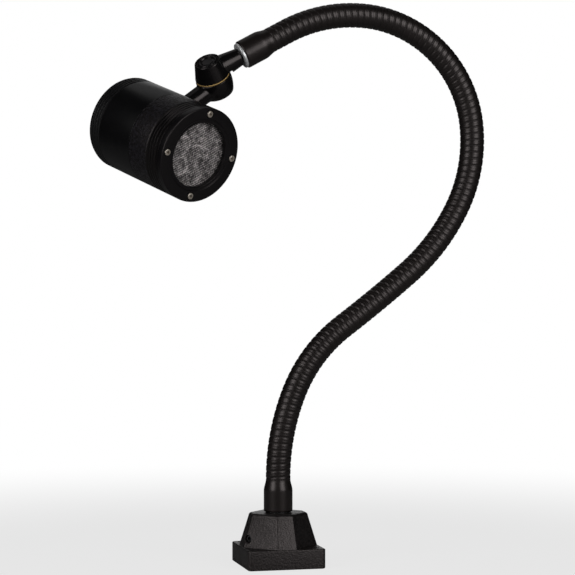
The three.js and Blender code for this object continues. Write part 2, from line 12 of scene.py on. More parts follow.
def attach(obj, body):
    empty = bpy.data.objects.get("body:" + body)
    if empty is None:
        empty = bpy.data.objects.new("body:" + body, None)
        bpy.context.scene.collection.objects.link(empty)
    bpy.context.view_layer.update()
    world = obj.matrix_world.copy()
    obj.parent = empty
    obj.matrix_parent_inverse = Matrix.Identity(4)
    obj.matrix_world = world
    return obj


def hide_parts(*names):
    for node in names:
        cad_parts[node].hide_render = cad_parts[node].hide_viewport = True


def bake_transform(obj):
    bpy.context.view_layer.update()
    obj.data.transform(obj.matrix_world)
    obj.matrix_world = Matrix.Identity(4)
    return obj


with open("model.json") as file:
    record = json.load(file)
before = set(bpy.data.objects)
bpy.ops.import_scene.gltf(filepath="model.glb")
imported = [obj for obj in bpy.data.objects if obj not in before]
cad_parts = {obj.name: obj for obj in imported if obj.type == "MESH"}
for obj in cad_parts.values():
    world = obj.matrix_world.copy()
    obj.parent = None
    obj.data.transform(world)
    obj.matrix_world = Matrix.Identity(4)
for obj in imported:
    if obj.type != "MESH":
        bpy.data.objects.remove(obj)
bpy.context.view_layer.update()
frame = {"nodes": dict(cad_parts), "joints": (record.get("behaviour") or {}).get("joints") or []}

bl_info = {
    "name": "Examination Lamp",
    "version": (1, 0, 0),
    "blender": (4, 5, 0),
    "location": "3D View > Sidebar > Lamp",
    "description": "Makes the fine surfaces, finishes and studio stage of a gooseneck examination lamp",
    "category": "Object",
}

MM = 0.001

# Base, in millimetres
BLOCK_HALF = 32
BLOCK_HEIGHT = 16
BLOCK_CORNER = 2
CASTING_TOP = 43
FOOT_HALF = 31
FOOT_FLAT_HALF = 8
TOP_HALF = 23.5
TOP_FLAT_HALF = 6.5
TOP_ROUND = 2.5
BOLT_PLACE = 25
BOLT_HOLE = 2.75
SOCKET_FLOOR = 20
SOCKET_RADIUS = 9.55
INLET_HEIGHT = 9
SIDE_SCREW_SEAT = 26.3
SIDE_SCREW_TOP = 23.4
LOCK_SCREW_SEAT = 26.1
LOCK_SCREW_TOP = 24.6
INLET_BORE = 4
GROMMET_BORE = 3.3
GROMMET_SEAT = 6.3
SIDE_SCREW_HEIGHT = 23
SIDE_SCREW_OFFSET = 13
SIDE_SCREW_RADIUS = 2.85
LOCK_SCREW_HEIGHT = 33
LOCK_SCREW_RADIUS = 1.5

# Neck, in millimetres and degrees
COLLAR_TOP = 44
COLLAR_RADIUS = 10.5
NECK_FOOT = 27
NECK_TIP = 42.2
ARC_LENGTH = 70.5
ARC_TURNS = (-21.5, -32, 3.5, 23, 32, 41, 40, 33)
SLEEVE_RADIUS = 11.8
SLEEVE_LENGTH = 18.5
SLEEVE_TAPER = 8
FERRULE_RADIUS = 9.25
FLANGE_RADIUS = 10.7
FLANGE_THICK = 2

# Knuckle, in millimetres: its own frame has Z along the pin and X towards the neck
STEM_REACH = 27.7
NECK_STEM_RISE = 4.3
HEAD_STEM_DROP = 8.7
DRUM_HEIGHT = 15
LOWER_DRUM_HEIGHT = 16.5
WASHER_HALF = 0.5
WASHER_RADIUS = 14.2
SEAT_GAP = 0.8
CAP_RADIUS = 7.6
CAP_GAP = 0.45
RIM_LINE = 1.5
CLAMP_HOLE = 3.3
STEM_TO_HEAD_AXIS = 71.6

# Head, in millimetres: its own frame has Z out of the window and X towards the knuckle
HEAD_RADIUS = 38
HEAD_BACK = -32.5
HEAD_FRONT = 64.3
COVER_EDGE = HEAD_BACK + 2.1
COVER_SEAM = HEAD_BACK + 2.4
REAR_WALL = 4.5
REAR_GROOVES = HEAD_BACK + 3.4
BODY_SEAM = 21.6
FRONT_WALL = 9
GRIP_GROOVES = 44.6
SEAM_LIP = 0.25
SEAM_GAP = 0.3
LIP_INSET = 1.1
BEZEL_SEAM = 58.6
GLASS_TOP = 59.4
GLASS_THICK = 3
SEAL_LOW = 59.7
SEAL_HIGH = 60.6
BEZEL_LIP = 60.9
GLASS_RADIUS = 28.2
LEDGE_RADIUS = 26.6
WINDOW_RADIUS = 25.8
SCREW_CIRCLE = 33.1
SCREW_PHASE = 50.4
LENS_PITCH = 16.6
LED_SEAT = 37.6
LENS_CROWN = LED_SEAT + 17
RIDGE_PITCH = 1.25 * MM
RIDGE_LEAN = math.radians(38)

# Sides of the turned pieces, from the large ones that are seen closest down to screws and holes
FINE = 160
MEDIUM = 96
SMALL = 48

# Tint of the sheen on painted and anodised surfaces
SHEEN_TINT = (1, 0.9, 0.89, 1)

# Studio, in metres and degrees
VIEW_AZIMUTH = -14
SOFTBOX_DISTANCE = 1.5
SOFTBOX_AIM = 0.25
FLOOR_RADIUS = 6
FLOOR_SIDES = 64
FLOOR_DROP = 0.0002


# ---- node trees ------------------------------------------------------------------------------------


class Wire:
    """One output socket of a node tree. Arithmetic on it adds Math nodes."""

    def __init__(self, net, socket):
        self.net = net
        self.socket = socket

    def __add__(self, other):
        return self.net.maths("ADD", self, other)

    def __radd__(self, other):
        return self.net.maths("ADD", other, self)

    def __sub__(self, other):
        return self.net.maths("SUBTRACT", self, other)

    def __rsub__(self, other):
        return self.net.maths("SUBTRACT", other, self)

    def __mul__(self, other):
        return self.net.maths("MULTIPLY", self, other)

    def __rmul__(self, other):
        return self.net.maths("MULTIPLY", other, self)

    def __truediv__(self, other):
        return self.net.maths("DIVIDE", self, other)

    def __rtruediv__(self, other):
        return self.net.maths("DIVIDE", other, self)

    def __neg__(self):
        return self.net.maths("MULTIPLY", self, -1)

    def __pow__(self, other):
        return self.net.maths("POWER", self, other)

    def __abs__(self):
        return self.net.maths("ABSOLUTE", self)

    def __getitem__(self, name):
        """Another output of the same node."""
        return Wire(self.net, self.socket.node.outputs[name])


class Net:
    """Adds nodes to one shader or geometry tree."""

    def __init__(self, tree):
        self.tree = tree

    def node(self, kind, settings=None, sockets=None, out=0):
        """A node of that kind: settings first, then socket values or wires. Gives one of its outputs."""
        made = self.tree.nodes.new(kind)
        for name, value in (settings or {}).items():
            setattr(made, name, value)
        for name, value in (sockets or {}).items():
            if isinstance(name, int):
                socket = made.inputs[name]
            else:
                socket = next(s for s in made.inputs if s.name == name and s.enabled)
            if isinstance(value, Wire):
                self.tree.links.new(value.socket, socket)
            else:
                socket.default_value = value
        outputs = [s for s in made.outputs if s.enabled]
        if not outputs:
            return None
        return Wire(self, outputs[out] if isinstance(out, int) else made.outputs[out])

    def maths(self, operation, *values):
        sockets = dict(enumerate(values))
        return self.node("ShaderNodeMath", {"operation": operation}, sockets)

    def soft_max(self, first, second, width):
        """The larger of two numbers, with the join between them rounded over a width."""
        return self.maths("SMOOTH_MAX", first, second, width)

    def vector(self, operation, *values, out=0):
        sockets = {}
        for index, value in enumerate(values):
            sockets["Scale" if operation == "SCALE" and index == 1 else index] = value
        return self.node("ShaderNodeVectorMath", {"operation": operation}, sockets, out)

    def parts(self, vector):
        split = self.node("ShaderNodeSeparateXYZ", None, {0: vector})
        return split["X"], split["Y"], split["Z"]

    def blend(self, factor, dark, light):
        """A colour between two colours."""
        settings = {"data_type": "RGBA", "clamp_factor": True}
        return self.node("ShaderNodeMix", settings, {"Factor": factor, "A": dark, "B": light})

    def between(self, value, low, high):
        """A number that goes smoothly from 0 at low to 1 at high."""
        settings = {"interpolation_type": "SMOOTHSTEP"}
        return self.node("ShaderNodeMapRange", settings, {"Value": value, "From Min": low, "From Max": high})


def geometry_tree(name, inputs):
    """A geometry tree with those named inputs, as a net, its input wires by name, and a closing function."""
    tree = bpy.data.node_groups.new(name, "GeometryNodeTree")
    tree.interface.new_socket("Geometry", in_out="INPUT", socket_type="NodeSocketGeometry")
    tree.interface.new_socket("Geometry", in_out="OUTPUT", socket_type="NodeSocketGeometry")
    for label, kind, default in inputs:
        socket = tree.interface.new_socket(label, in_out="INPUT", socket_type="NodeSocket" + kind)
        if default is not None:
            socket.default_value = default
    tree.interface.new_socket("Material", in_out="INPUT", socket_type="NodeSocketMaterial")
    net = Net(tree)
    entry = tree.nodes.new("NodeGroupInput")
    wires = {s.name: Wire(net, s) for s in entry.outputs if s.name}

    def close(geometry):
        real = net.node("GeometryNodeRealizeInstances", None, {"Geometry": geometry})
        painted = net.node("GeometryNodeSetMaterial", None, {"Geometry": real, "Material": wires["Material"]})
        leaving = tree.nodes.new("NodeGroupOutput")
        tree.links.new(painted.socket, leaving.inputs[0])
        return tree

    return net, wires, close


def grown(name, seed_mesh, tree, material, values):
    """A plain mesh object grown from a seed mesh by a geometry tree, with its named inputs set."""
    host = bpy.data.objects.new(name, seed_mesh)
    bpy.context.scene.collection.objects.link(host)
    modifier = host.modifiers.new("grow", "NODES")
    modifier.node_group = tree
    sockets = {item.name: item.identifier for item in tree.interface.items_tree if item.in_out == "INPUT"}
    for label, value in {**values, "Material": material}.items():
        modifier[sockets[label]] = value
    return flatten(host)


def flatten(piece):
    """The piece with its modifiers turned into a plain mesh."""
    graph = bpy.context.evaluated_depsgraph_get()
    graph.update()
    mesh = bpy.data.meshes.new_from_object(piece.evaluated_get(graph))
    old = piece.data
    piece.modifiers.clear()
    piece.data = mesh
    mesh.name = piece.name
    if old.users == 0:
        bpy.data.meshes.remove(old)
    return piece


# ---- meshes ----------------------------------------------------------------------------------------


def mesh_from(name, vertices, faces=(), edges=()):
    mesh = bpy.data.meshes.new(name)
    mesh.from_pydata([tuple(v) for v in vertices], list(edges), [tuple(f) for f in faces])
    mesh.validate()
    return mesh


def shaded(mesh, limit=35):
    """Smooth shading, with edges sharper than the limit in degrees kept crisp."""
    work = bmesh.new()
    work.from_mesh(mesh)
    bmesh.ops.remove_doubles(work, verts=work.verts, dist=1e-7)
    bmesh.ops.recalc_face_normals(work, faces=work.faces)
    for face in work.faces:
        face.smooth = True
    for edge in work.edges:
        edge.smooth = len(edge.link_faces) == 2 and edge.calc_face_angle(0) < math.radians(limit)
    work.to_mesh(mesh)
    work.free()
    return mesh


def on_points(mesh, name, kind, values):
    """Stores one number or vector for each point of a mesh."""
    layer = mesh.attributes.new(name, kind, "POINT")
    if kind == "FLOAT":
        layer.data.foreach_set("value", values)
    else:
        layer.data.foreach_set("vector", [number for value in values for number in value])


def piece_of(name, mesh, material=None):
    piece = bpy.data.objects.new(name, mesh)
    bpy.context.scene.collection.objects.link(piece)
    if material:
        mesh.materials.clear()
        mesh.materials.append(material)
    return piece


def rounded(corners, steps=5):
    """An outline with each [radius, height, fillet] corner rounded by an arc."""
    points = []
    count = len(corners)
    closed = tuple(corners[0][:2]) == tuple(corners[-1][:2])
    for index, corner in enumerate(corners):
        here = Vector(corner[:2])
        fillet = corner[2] if len(corner) > 2 else 0
        inner = 0 < index < count - 1
        if not fillet or not inner:
            points.append(here)
            continue
        before = (Vector(corners[index - 1][:2]) - here).normalized()
        after = (Vector(corners[index + 1][:2]) - here).normalized()
        half = before.angle(after) / 2
        reach = fillet / math.tan(half)
        middle = here + (before + after).normalized() * (fillet / math.sin(half))
        start = here + before * reach - middle
        sweep = start.angle_signed(here + after * reach - middle)
        for step in range(steps + 1):
            turn = Matrix.Rotation(-sweep * step / steps, 2)
            points.append(middle + turn @ start)
    if closed:
        points[-1] = points[0]
    return points


def turned(name, corners, sides, frame_matrix, material, limit=35):
    """A solid of revolution about the frame's Z. The outline ends on the axis or closes on itself."""
    outline = rounded(corners)
    ring = tuple(outline[0]) == tuple(outline[-1])
    if ring:
        outline = outline[:-1]
    work = bmesh.new()
    rows = []
    for radius, height in outline:
        if radius < 1e-6:
            rows.append([work.verts.new((0, 0, height))] * sides)
            continue
        row = []
        for side in range(sides):
            angle = 2 * math.pi * side / sides
            row.append(work.verts.new((radius * math.cos(angle), radius * math.sin(angle), height)))
        rows.append(row)
    count = len(rows)
    for index in range(count if ring else count - 1):
        low, high = rows[index], rows[(index + 1) % count]
        for side in range(sides):
            after = (side + 1) % sides
            corners_of = [low[side], low[after], high[after], high[side]]
            unique = list(dict.fromkeys(corners_of))
            if len(unique) > 2:
                work.faces.new(unique)
    mesh = bpy.data.meshes.new(name)
    work.to_mesh(mesh)
    work.free()
    shaded(mesh, limit)
    mesh.transform(frame_matrix)
    return piece_of(name, mesh, material)


def rod(radius, low, high, sides, frame_matrix):
    """A plain cutter."""
    corners = [(0, low), (radius, low), (radius, high), (0, high)]
    return turned("cutter", corners, sides, frame_matrix, None)


def worked(piece, operation, tools, limit=35):
    """The piece cut by, or joined with, the tools, which are used up."""
    for tool in tools:
        modifier = piece.modifiers.new("work", "BOOLEAN")
        modifier.operation = operation
        modifier.solver = "EXACT"
        modifier.object = tool
    flatten(piece)
    for tool in tools:
        bpy.data.objects.remove(tool)
    shaded(piece.data, limit)
    return piece


def aimed(origin, z_axis, x_hint):
    """A millimetre frame at an origin in metres, its Z along one direction and its X near another."""
    z = Vector(z_axis).normalized()
    y = z.cross(Vector(x_hint)).normalized()
    x = y.cross(z)
    turn = Matrix((x, y, z)).transposed().to_4x4()
    return Matrix.Translation(Vector(origin)) @ turn @ Matrix.Scale(MM, 4)


def own(piece, body, slot, *nodes):
    """The piece rides on a body and stands for those CAD nodes. The slot is not used."""
    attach(piece, body)
    if nodes:
        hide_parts(*nodes)
    return piece


# ---- places from the frame -------------------------------------------------------------------------


def middle_of(node):
    """The mean of a turned CAD node's corners, which lies on its axis."""
    corners = [v.co for v in frame["nodes"][node].data.vertices]
    return sum(corners, Vector()) / len(corners)


def neck_at(distance):
    """The neck's centre line, in millimetres: x, z and heading at a distance from the collar."""
    x, z, heading, left = 0.0, COLLAR_TOP, math.pi / 2, distance
    for length, turn in [(NECK_FOOT, 0), *((ARC_LENGTH, math.radians(t)) for t in ARC_TURNS), (NECK_TIP, 0)]:
        walked = min(left, length)
        swing = turn * walked / length
        chord = walked if swing == 0 else walked * math.sin(swing / 2) / (swing / 2)
        x += chord * math.cos(heading + swing / 2)
        z += chord * math.sin(heading + swing / 2)
        heading += swing
        left -= walked
    return x, z, heading


NECK_LENGTH = NECK_FOOT + ARC_LENGTH * len(ARC_TURNS) + NECK_TIP


def neck_point(distance):
    x, z, _ = neck_at(distance)
    return Vector((x, 0, z)) * MM


def neck_direction(distance):
    heading = neck_at(distance)[2]
    return Vector((math.cos(heading), 0, math.sin(heading)))


def joint(name):
    return next(j for j in frame["joints"] if j["name"] == name)


def base_frame():
    return aimed((0, 0, 0), (0, 0, 1), (1, 0, 0))


def neck_end_frame():
    return aimed(neck_point(NECK_LENGTH), neck_direction(NECK_LENGTH), (0, 0, 1))


def knuckle_frame():
    tilt = joint("knuckle_tilt")
    return aimed(tilt["pos_m"], tilt["axis"], -neck_direction(NECK_LENGTH))


def head_frame():
    outwards = (middle_of("glass") - middle_of("rear_cover")).normalized()
    origin = middle_of("glass") - outwards * (GLASS_TOP - GLASS_THICK / 2) * MM
    across = Vector(joint("knuckle_tilt")["axis"]).cross(outwards)
    return aimed(origin, outwards, across)


def arm_frame():
    """The knuckle's frame turned to the head: X runs away from the head's axis."""
    tilt = joint("knuckle_tilt")
    return aimed(tilt["pos_m"], tilt["axis"], head_frame().to_3x3().col[0])


# ---- settings --------------------------------------------------------------------------------------


def size(name, description, default):
    return FloatProperty(name=name, description=description, default=default, unit="LENGTH", precision=5)


def colour(name, description, default):
    return FloatVectorProperty(
        name=name, description=description, default=default, subtype="COLOR", size=3, min=0, max=1
    )


class BaseLook(bpy.types.PropertyGroup):
    """Finish of the cast base."""

    paint: colour("Cast paint", "Colour of the powder coat on the casting", (0.012, 0.0102, 0.0102))
    grain: size("Grain", "Width of the powder coat's grain", 0.0014)


class NeckLook(bpy.types.PropertyGroup):
    """Shape and finish of the sheathed neck."""

    radius: size("Sheath radius", "Radius of the sheath on the ribs", 0.01)
    pitch: size("Rib pitch", "Distance from one turn of the wound strip to the next", 0.0054)
    groove: size("Groove depth", "Depth of the line between two turns", 0.00032)
    vinyl: colour("Vinyl", "Colour of the sheath", (0.0072, 0.0056, 0.0052))


class KnuckleLook(bpy.types.PropertyGroup):
    """Shape and finish of the friction knuckle."""

    blend: size("Fillet", "Radius of the cast fillet between a drum and its stem", 0.0012)
    voxel: size("Step", "Step of the grid that the cast halves are worked out on", 0.00035)
    enamel: colour("Enamel", "Colour of the gloss paint", (0.0042, 0.004, 0.0042))


class HeadLook(bpy.types.PropertyGroup):
    """Finish of the head and its window."""

    anodising: colour("Anodising", "Colour of the smooth housing", (0.0032, 0.003, 0.0038))
    lens_count: IntProperty(name="Outer lenses", description="Lenses round the middle one", default=6, min=3)


class StageLook(bpy.types.PropertyGroup):
    """Camera of the studio."""

    azimuth: FloatProperty(
        name="Azimuth", description="Camera's angle round the lamp",
        default=math.radians(VIEW_AZIMUTH), unit="ROTATION",
    )
    distance: size("Distance", "From the lamp's middle plane to the camera", 1.5)
    height: size("Height", "Camera's height above the floor", 0.227)
    aside: size("Aside", "Camera's step to the right of the base", 0.00767)
    width: size("View width", "Width of the view at the lamp", 0.4715)


# ---- finishes --------------------------------------------------------------------------------------


def material_of(name, build, **fixed):
    """A procedural material: build(net, place) gives the sockets that change over the surface."""
    made = bpy.data.materials.get(name)
    if made:
        return made
    made = bpy.data.materials.new(name)
    made.use_nodes = True
    made.node_tree.nodes.clear()
    net = Net(made.node_tree)
    place = net.node("ShaderNodeTexCoord", out="Object")
    sockets = {label.replace("_", " "): value for label, value in fixed.items()}
    sockets.update(build(net, place))
    shader = net.node("ShaderNodeBsdfPrincipled", None, sockets)
    net.node("ShaderNodeOutputMaterial", None, {"Surface": shader})
    return made


def noise(net, place, width, detail=3):
    """Noise from 0 to 1 whose marks are about that wide, in metres."""
    sockets = {"Vector": place, "Scale": 1 / width, "Detail": detail}
    return net.node("ShaderNodeTexNoise", {"noise_dimensions": "3D"}, sockets)


def bumped(net, height, distance, strength=1):
    sockets = {"Height": height, "Distance": distance, "Strength": strength}
    return net.node("ShaderNodeBump", None, sockets)


def shade(rgb, factor=1):
    return (*(min(1, channel * factor) for channel in rgb), 1)


def cast_paint():
    look = bpy.context.scene.lamp_base

    def build(net, place):
        grain = noise(net, place, look.grain, 4)
        patches = noise(net, place, 0.012, 2)
        speck = net.between(grain, 0.35, 0.7)
        return {
            "Base Color": net.blend(speck, shade(look.paint, 0.2), shade(look.paint, 1.7)),
            "Roughness": 0.33 + 0.16 * patches,
            "Normal": bumped(net, grain, 0.0004, 0.8),
        }

    return material_of("cast powder paint", build, Specular_Tint=SHEEN_TINT)


def sheath_vinyl():
    look = bpy.context.scene.lamp_neck

    def build(net, place):
        grain = noise(net, place, 0.0007, 4)
        dust = noise(net, place, 0.02, 3)
        valley = net.node("ShaderNodeAttribute", {"attribute_name": "groove"}, out="Fac")
        # Painted shade: the colour darkens along the grooves between turns, over random patches of dust.
        tone = net.between(dust, 0.3, 0.75) * 0.35 + valley * -0.4
        return {
            "Base Color": net.blend(0.5 + tone, shade(look.vinyl, 0.6), shade(look.vinyl, 1.5)),
            "Roughness": 0.3 + 0.08 * dust + 0.15 * valley,
            "Normal": bumped(net, grain, 0.00005, 0.5),
        }

    return material_of("sheath vinyl", build, Specular_Tint=SHEEN_TINT)


def gloss_enamel():
    look = bpy.context.scene.lamp_knuckle

    def build(net, place):
        peel = noise(net, place, 0.0025, 2)
        haze = noise(net, place, 0.009, 3)
        return {
            "Base Color": net.blend(haze, shade(look.enamel, 0.85), shade(look.enamel, 1.2)),
            "Roughness": 0.18 + 0.08 * haze,
            "Normal": bumped(net, peel, 0.00004, 0.35),
        }

    return material_of("gloss enamel", build, Specular_IOR_Level=0.32, Specular_Tint=SHEEN_TINT)


def smooth_anodising():
    look = bpy.context.scene.lamp_head

    def build(net, place):
        cloud = noise(net, place, 0.01, 3)
        fine = noise(net, place, 0.0004, 2)
        return {
            "Base Color": net.blend(cloud, shade(look.anodising, 0.4), shade(look.anodising, 0.6)),
            "Roughness": 0.27 + 0.08 * cloud + 0.04 * fine,
            "Normal": bumped(net, fine, 0.00002, 0.4),
        }

    return material_of("smooth anodising", build, Specular_IOR_Level=0.42)


def grained_anodising():
    look = bpy.context.scene.lamp_head

    def build(net, place):
        frame_matrix = head_frame()
        axis = frame_matrix.to_3x3().normalized() @ Vector((0, 0, 1))
        along = net.vector("DOT_PRODUCT", place, tuple(axis), out="Value")
        height = along - frame_matrix.translation.dot(axis)
        band = 1 - net.between(height, (GRIP_GROOVES - 1) * MM, (GRIP_GROOVES - 0.2) * MM)
        grain = noise(net, place, 0.0016, 4)
        speck = net.between(grain, 0.44, 0.62) * band
        return {
            "Base Color": net.blend(speck, shade(look.anodising, 0.3), shade(look.anodising, 5)),
            "Roughness": 0.33 + 0.13 * band - 0.12 * speck,
            "Normal": bumped(net, grain * band, 0.0006, 0.9),
        }

    return material_of("grained anodising", build, Specular_IOR_Level=0.36, Specular_Tint=SHEEN_TINT)


def matt_anodising():
    look = bpy.context.scene.lamp_head

    def build(net, place):
        grain = noise(net, place, 0.0006, 3)
        cloud = noise(net, place, 0.008, 2)
        return {
            "Base Color": net.blend(grain, shade(look.anodising, 0.5), shade(look.anodising, 1.1)),
            "Roughness": 0.3 + 0.08 * cloud,
            "Normal": bumped(net, grain, 0.00005, 0.4),
        }

    return material_of("matt anodising", build, Specular_IOR_Level=0.36, Specular_Tint=SHEEN_TINT)


def metal(name, rgb, roughness, metallic=1.0, painted_shade_spots=()):
    """A metal with light scuffs. Dark spots are [middle, radius] hollows of one size, where the colour is
    painted dark as their shade.
    """

    def build(net, place):
        scuff = noise(net, place, 0.0015, 4)
        fine = noise(net, place, 0.0002, 2)
        bright = net.blend(scuff, shade(rgb, 0.85), shade(rgb, 1.08))
        if painted_shade_spots:
            away = nearest(net, place, [middle for middle, _ in painted_shade_spots])
            radius = painted_shade_spots[0][1]
            # Painted shade: the colour goes near black inside each hollow.
            bright = net.blend(net.between(away, radius * 0.85, radius), shade(rgb, 0.05), bright)
        return {
            "Base Color": bright,
            "Roughness": roughness + 0.1 * scuff,
            "Normal": bumped(net, fine, 0.00001, 0.4),
        }

    return material_of(name, build, Metallic=metallic)


def bright_plating():
    return metal("bright plating", (0.86, 0.87, 0.88), 0.32, 0.6)


def black_oxide():
    return metal("black oxide steel", (0.06, 0.06, 0.063), 0.35)


def plain(name, rgb, roughness, width=0.003):
    """A moulded or printed finish with slight patches and a soft surface."""

    def build(net, place):
        patch = noise(net, place, width, 3)
        return {
            "Base Color": net.blend(patch, shade(rgb, 0.85), shade(rgb, 1.12)),
            "Roughness": roughness + 0.1 * patch,
            "Normal": bumped(net, patch, 0.00005, 0.4),
        }

    return material_of(name, build)


def black_rubber():
    return plain("rubber", (0.012, 0.012, 0.012), 0.75)


def nearest(net, place, middles):
    """Distance to the nearest of some points."""
    shortest = None
    for middle in middles:
        away = net.vector("DISTANCE", place, tuple(middle), out="Value")
        shortest = away if shortest is None else net.maths("MINIMUM", shortest, away)
    return shortest


def prism_pattern(net, place):
    """Two crossed sets of fine ridges over the window, from 0 in the valleys to 1 on the peaks."""
    ridges = []
    turn = head_frame().to_3x3().normalized()
    for lean, pitch in ((RIDGE_LEAN, RIDGE_PITCH), (-RIDGE_LEAN, RIDGE_PITCH * 1.6)):
        across = turn @ Vector((math.cos(lean), math.sin(lean), 0))
        along = net.vector("DOT_PRODUCT", place, tuple(across), out="Value")
        wave = net.maths("FRACT", along / pitch)
        ridges.append(1 - abs(wave * 2 - 1))
    return ridges[0] * (0.55 + 0.45 * ridges[1])


def lens_gleam(net, place):
    """Painted highlights: bright crescents in the colour where the ridges catch the rims of the lenses behind
    them.
    """
    frame_matrix = head_frame()
    plane = Vector((0, 0, GLASS_TOP))
    shift = Vector((-1.3, 1.0, 0))
    outer = nearest(net, place, [frame_matrix @ (middle + plane) for middle in lens_places()])
    inner = nearest(net, place, [frame_matrix @ (middle + plane + shift) for middle in lens_places()])
    patch = net.between(noise(net, place, 0.009, 2), 0.42, 0.6)
    rim = 1 - net.between(outer, 7 * MM, 8.6 * MM)
    return rim * net.between(inner, 4.4 * MM, 8 * MM) * (0.08 + 0.92 * patch)


def window_glass():
    def build(net, place):
        ridge = prism_pattern(net, place)
        cloud = noise(net, place, 0.0045, 3)
        sparkle = noise(net, place, 0.0011, 2)
        # Painted light: the colour paints glints along the ridge peaks, in patches, and highlights at the
        # lens rims.
        gleam = lens_gleam(net, place) * net.between(sparkle, 0.3, 0.6)
        glints = net.between(ridge, 0.1, 0.75)
        tone = glints * net.between(cloud * sparkle, 0.1, 0.42) + gleam * (0.3 + 0.7 * glints)
        return {
            "Base Color": net.blend(tone, (0.02, 0.0178, 0.0175, 1), (1, 0.93, 0.92, 1)),
            "Alpha": 0.85 + 0.14 * ridge,
            "Roughness": 0.3 + 0.15 * cloud,
            "Normal": bumped(net, ridge, 0.00025, 0.5),
        }

    return material_of("prismatic window glass", build, IOR=1.5)


def lens_acrylic():
    def build(net, place):
        cloud = noise(net, place, 0.003, 3)
        return {
            "Base Color": net.blend(cloud, (0.3, 0.285, 0.28, 1), (0.5, 0.48, 0.47, 1)),
            "Roughness": 0.14 + 0.1 * cloud,
            "Normal": bumped(net, cloud, 0.0001, 0.3),
        }

    return material_of("lens acrylic", build, IOR=1.49)


# ---- base ------------------------------------------------------------------------------------------


def octagon_ring(half, flat, fillet, height):
    """A ring of points round an octagon with rounded corners: two flats meet at each of eight corners."""
    signs = [(1, -1), (1, 1), (1, 1), (-1, 1), (-1, 1), (-1, -1), (-1, -1), (1, -1)]
    corners = []
    for index, (sx, sy) in enumerate(signs):
        across, along = (half, flat) if index % 4 in (0, 1) and index in (0, 1, 4, 5) else (flat, half)
        corners.append(Vector((sx * across, sy * along)))
    ring = []
    count = len(corners)
    for index, corner in enumerate(corners):
        before = (corner - corners[index - 1]).normalized()
        after = (corners[(index + 1) % count] - corner).normalized()
        first = Vector((before.y, -before.x))
        last = Vector((after.y, -after.x))
        middle = corner - (first + last) * (fillet / (1 + first.dot(last)))
        sweep = first.angle(last)
        for step in range(5):
            turn = Matrix.Rotation(sweep * step / 4, 2)
            place = middle + turn @ (first * fillet)
            ring.append((place.x, place.y, height))
    return ring


def lofted(name, rings, frame_matrix, material):
    """A closed solid through rings of equal counts of points."""
    count = len(rings[0])
    faces = [list(range(count))[::-1]]
    for row in range(len(rings) - 1):
        for index in range(count):
            after = (index + 1) % count
            low, high = row * count, (row + 1) * count
            faces.append([low + index, low + after, high + after, high + index])
    last = (len(rings) - 1) * count
    faces.append(list(range(last, last + count)))
    mesh = mesh_from(name, [p for ring in rings for p in ring], faces)
    shaded(mesh)
    mesh.transform(frame_matrix)
    return piece_of(name, mesh, material)


def edge_round(radius, low_to_high):
    """Insets and rises of a quarter round."""
    angles = [math.radians(degrees) for degrees in low_to_high]
    return [(radius * (1 - math.cos(angle)), radius * math.sin(angle)) for angle in angles]


def casting():
    paint = cast_paint()
    flat = BLOCK_HALF - BLOCK_CORNER
    block_rings = [octagon_ring(BLOCK_HALF - 0.6, flat - 0.4, 0.8, 0)]
    block_rings.append(octagon_ring(BLOCK_HALF, flat, 1.2, 0.6))
    for inset, rise in edge_round(0.9, range(0, 91, 18)):
        height = BLOCK_HEIGHT - 0.9 + rise
        block_rings.append(octagon_ring(BLOCK_HALF - inset, flat - inset * 0.6, 1.2, height))
    body_rings = [octagon_ring(FOOT_HALF, FOOT_FLAT_HALF, 1.4, BLOCK_HEIGHT - 3)]
    body_rings.append(octagon_ring(FOOT_HALF, FOOT_FLAT_HALF, 1.4, BLOCK_HEIGHT))
    for inset, rise in edge_round(TOP_ROUND, range(0, 91, 15)):
        flat_half = TOP_FLAT_HALF - inset * 0.45
        body_rings.append(octagon_ring(TOP_HALF - inset, flat_half, 1.6, CASTING_TOP - TOP_ROUND + rise))
    piece = lofted("casting", block_rings, base_frame(), paint)
    tower = lofted("tower", body_rings, base_frame(), paint)
    worked(piece, "UNION", [tower])
    cutters = []
    for x in (-BOLT_PLACE, BOLT_PLACE):
        for y in (-BOLT_PLACE, BOLT_PLACE):
            place = aimed((x * MM, y * MM, 0), (0, 0, 1), (1, 0, 0))
            corners = [
                (0, -1), (BOLT_HOLE, -1), (BOLT_HOLE, BLOCK_HEIGHT - 0.5),
                (BOLT_HOLE + 0.8, BLOCK_HEIGHT + 0.3), (BOLT_HOLE + 0.8, 17), (0, 17),
            ]
            cutters.append(turned("cutter", corners, SMALL, place, None))
    cutters.append(rod(SOCKET_RADIUS, SOCKET_FLOOR, CASTING_TOP + 1, MEDIUM, base_frame()))
    cutters.append(rod(INLET_BORE, INLET_HEIGHT - 1, SOCKET_FLOOR + 1, SMALL, base_frame()))
    cutters.append(rod(INLET_BORE, 0, BLOCK_HALF, SMALL, inlet_frame()))
    cutters.append(rod(GROMMET_SEAT, BLOCK_HALF - 4, BLOCK_HALF + 1, SMALL, inlet_frame()))
    for frame_matrix, radius, depth, face in (
        (side_screw_frame(), SIDE_SCREW_RADIUS, 14, SIDE_SCREW_SEAT),
        (lock_screw_frame(), LOCK_SCREW_RADIUS, 8, LOCK_SCREW_SEAT),
    ):
        corners = [
            (0, depth), (radius + 0.3, depth), (radius + 0.3, face - 0.6),
            (radius + 1.1, face + 0.2), (radius + 1.1, 40), (0, 40),
        ]
        cutters.append(turned("cutter", corners, SMALL, frame_matrix, None))
    worked(piece, "DIFFERENCE", cutters)
    return own(piece, "base", "cast_paint", "base_casting")


def inlet_frame():
    return aimed((0, 0, INLET_HEIGHT * MM), (0, 1, 0), (1, 0, 0))


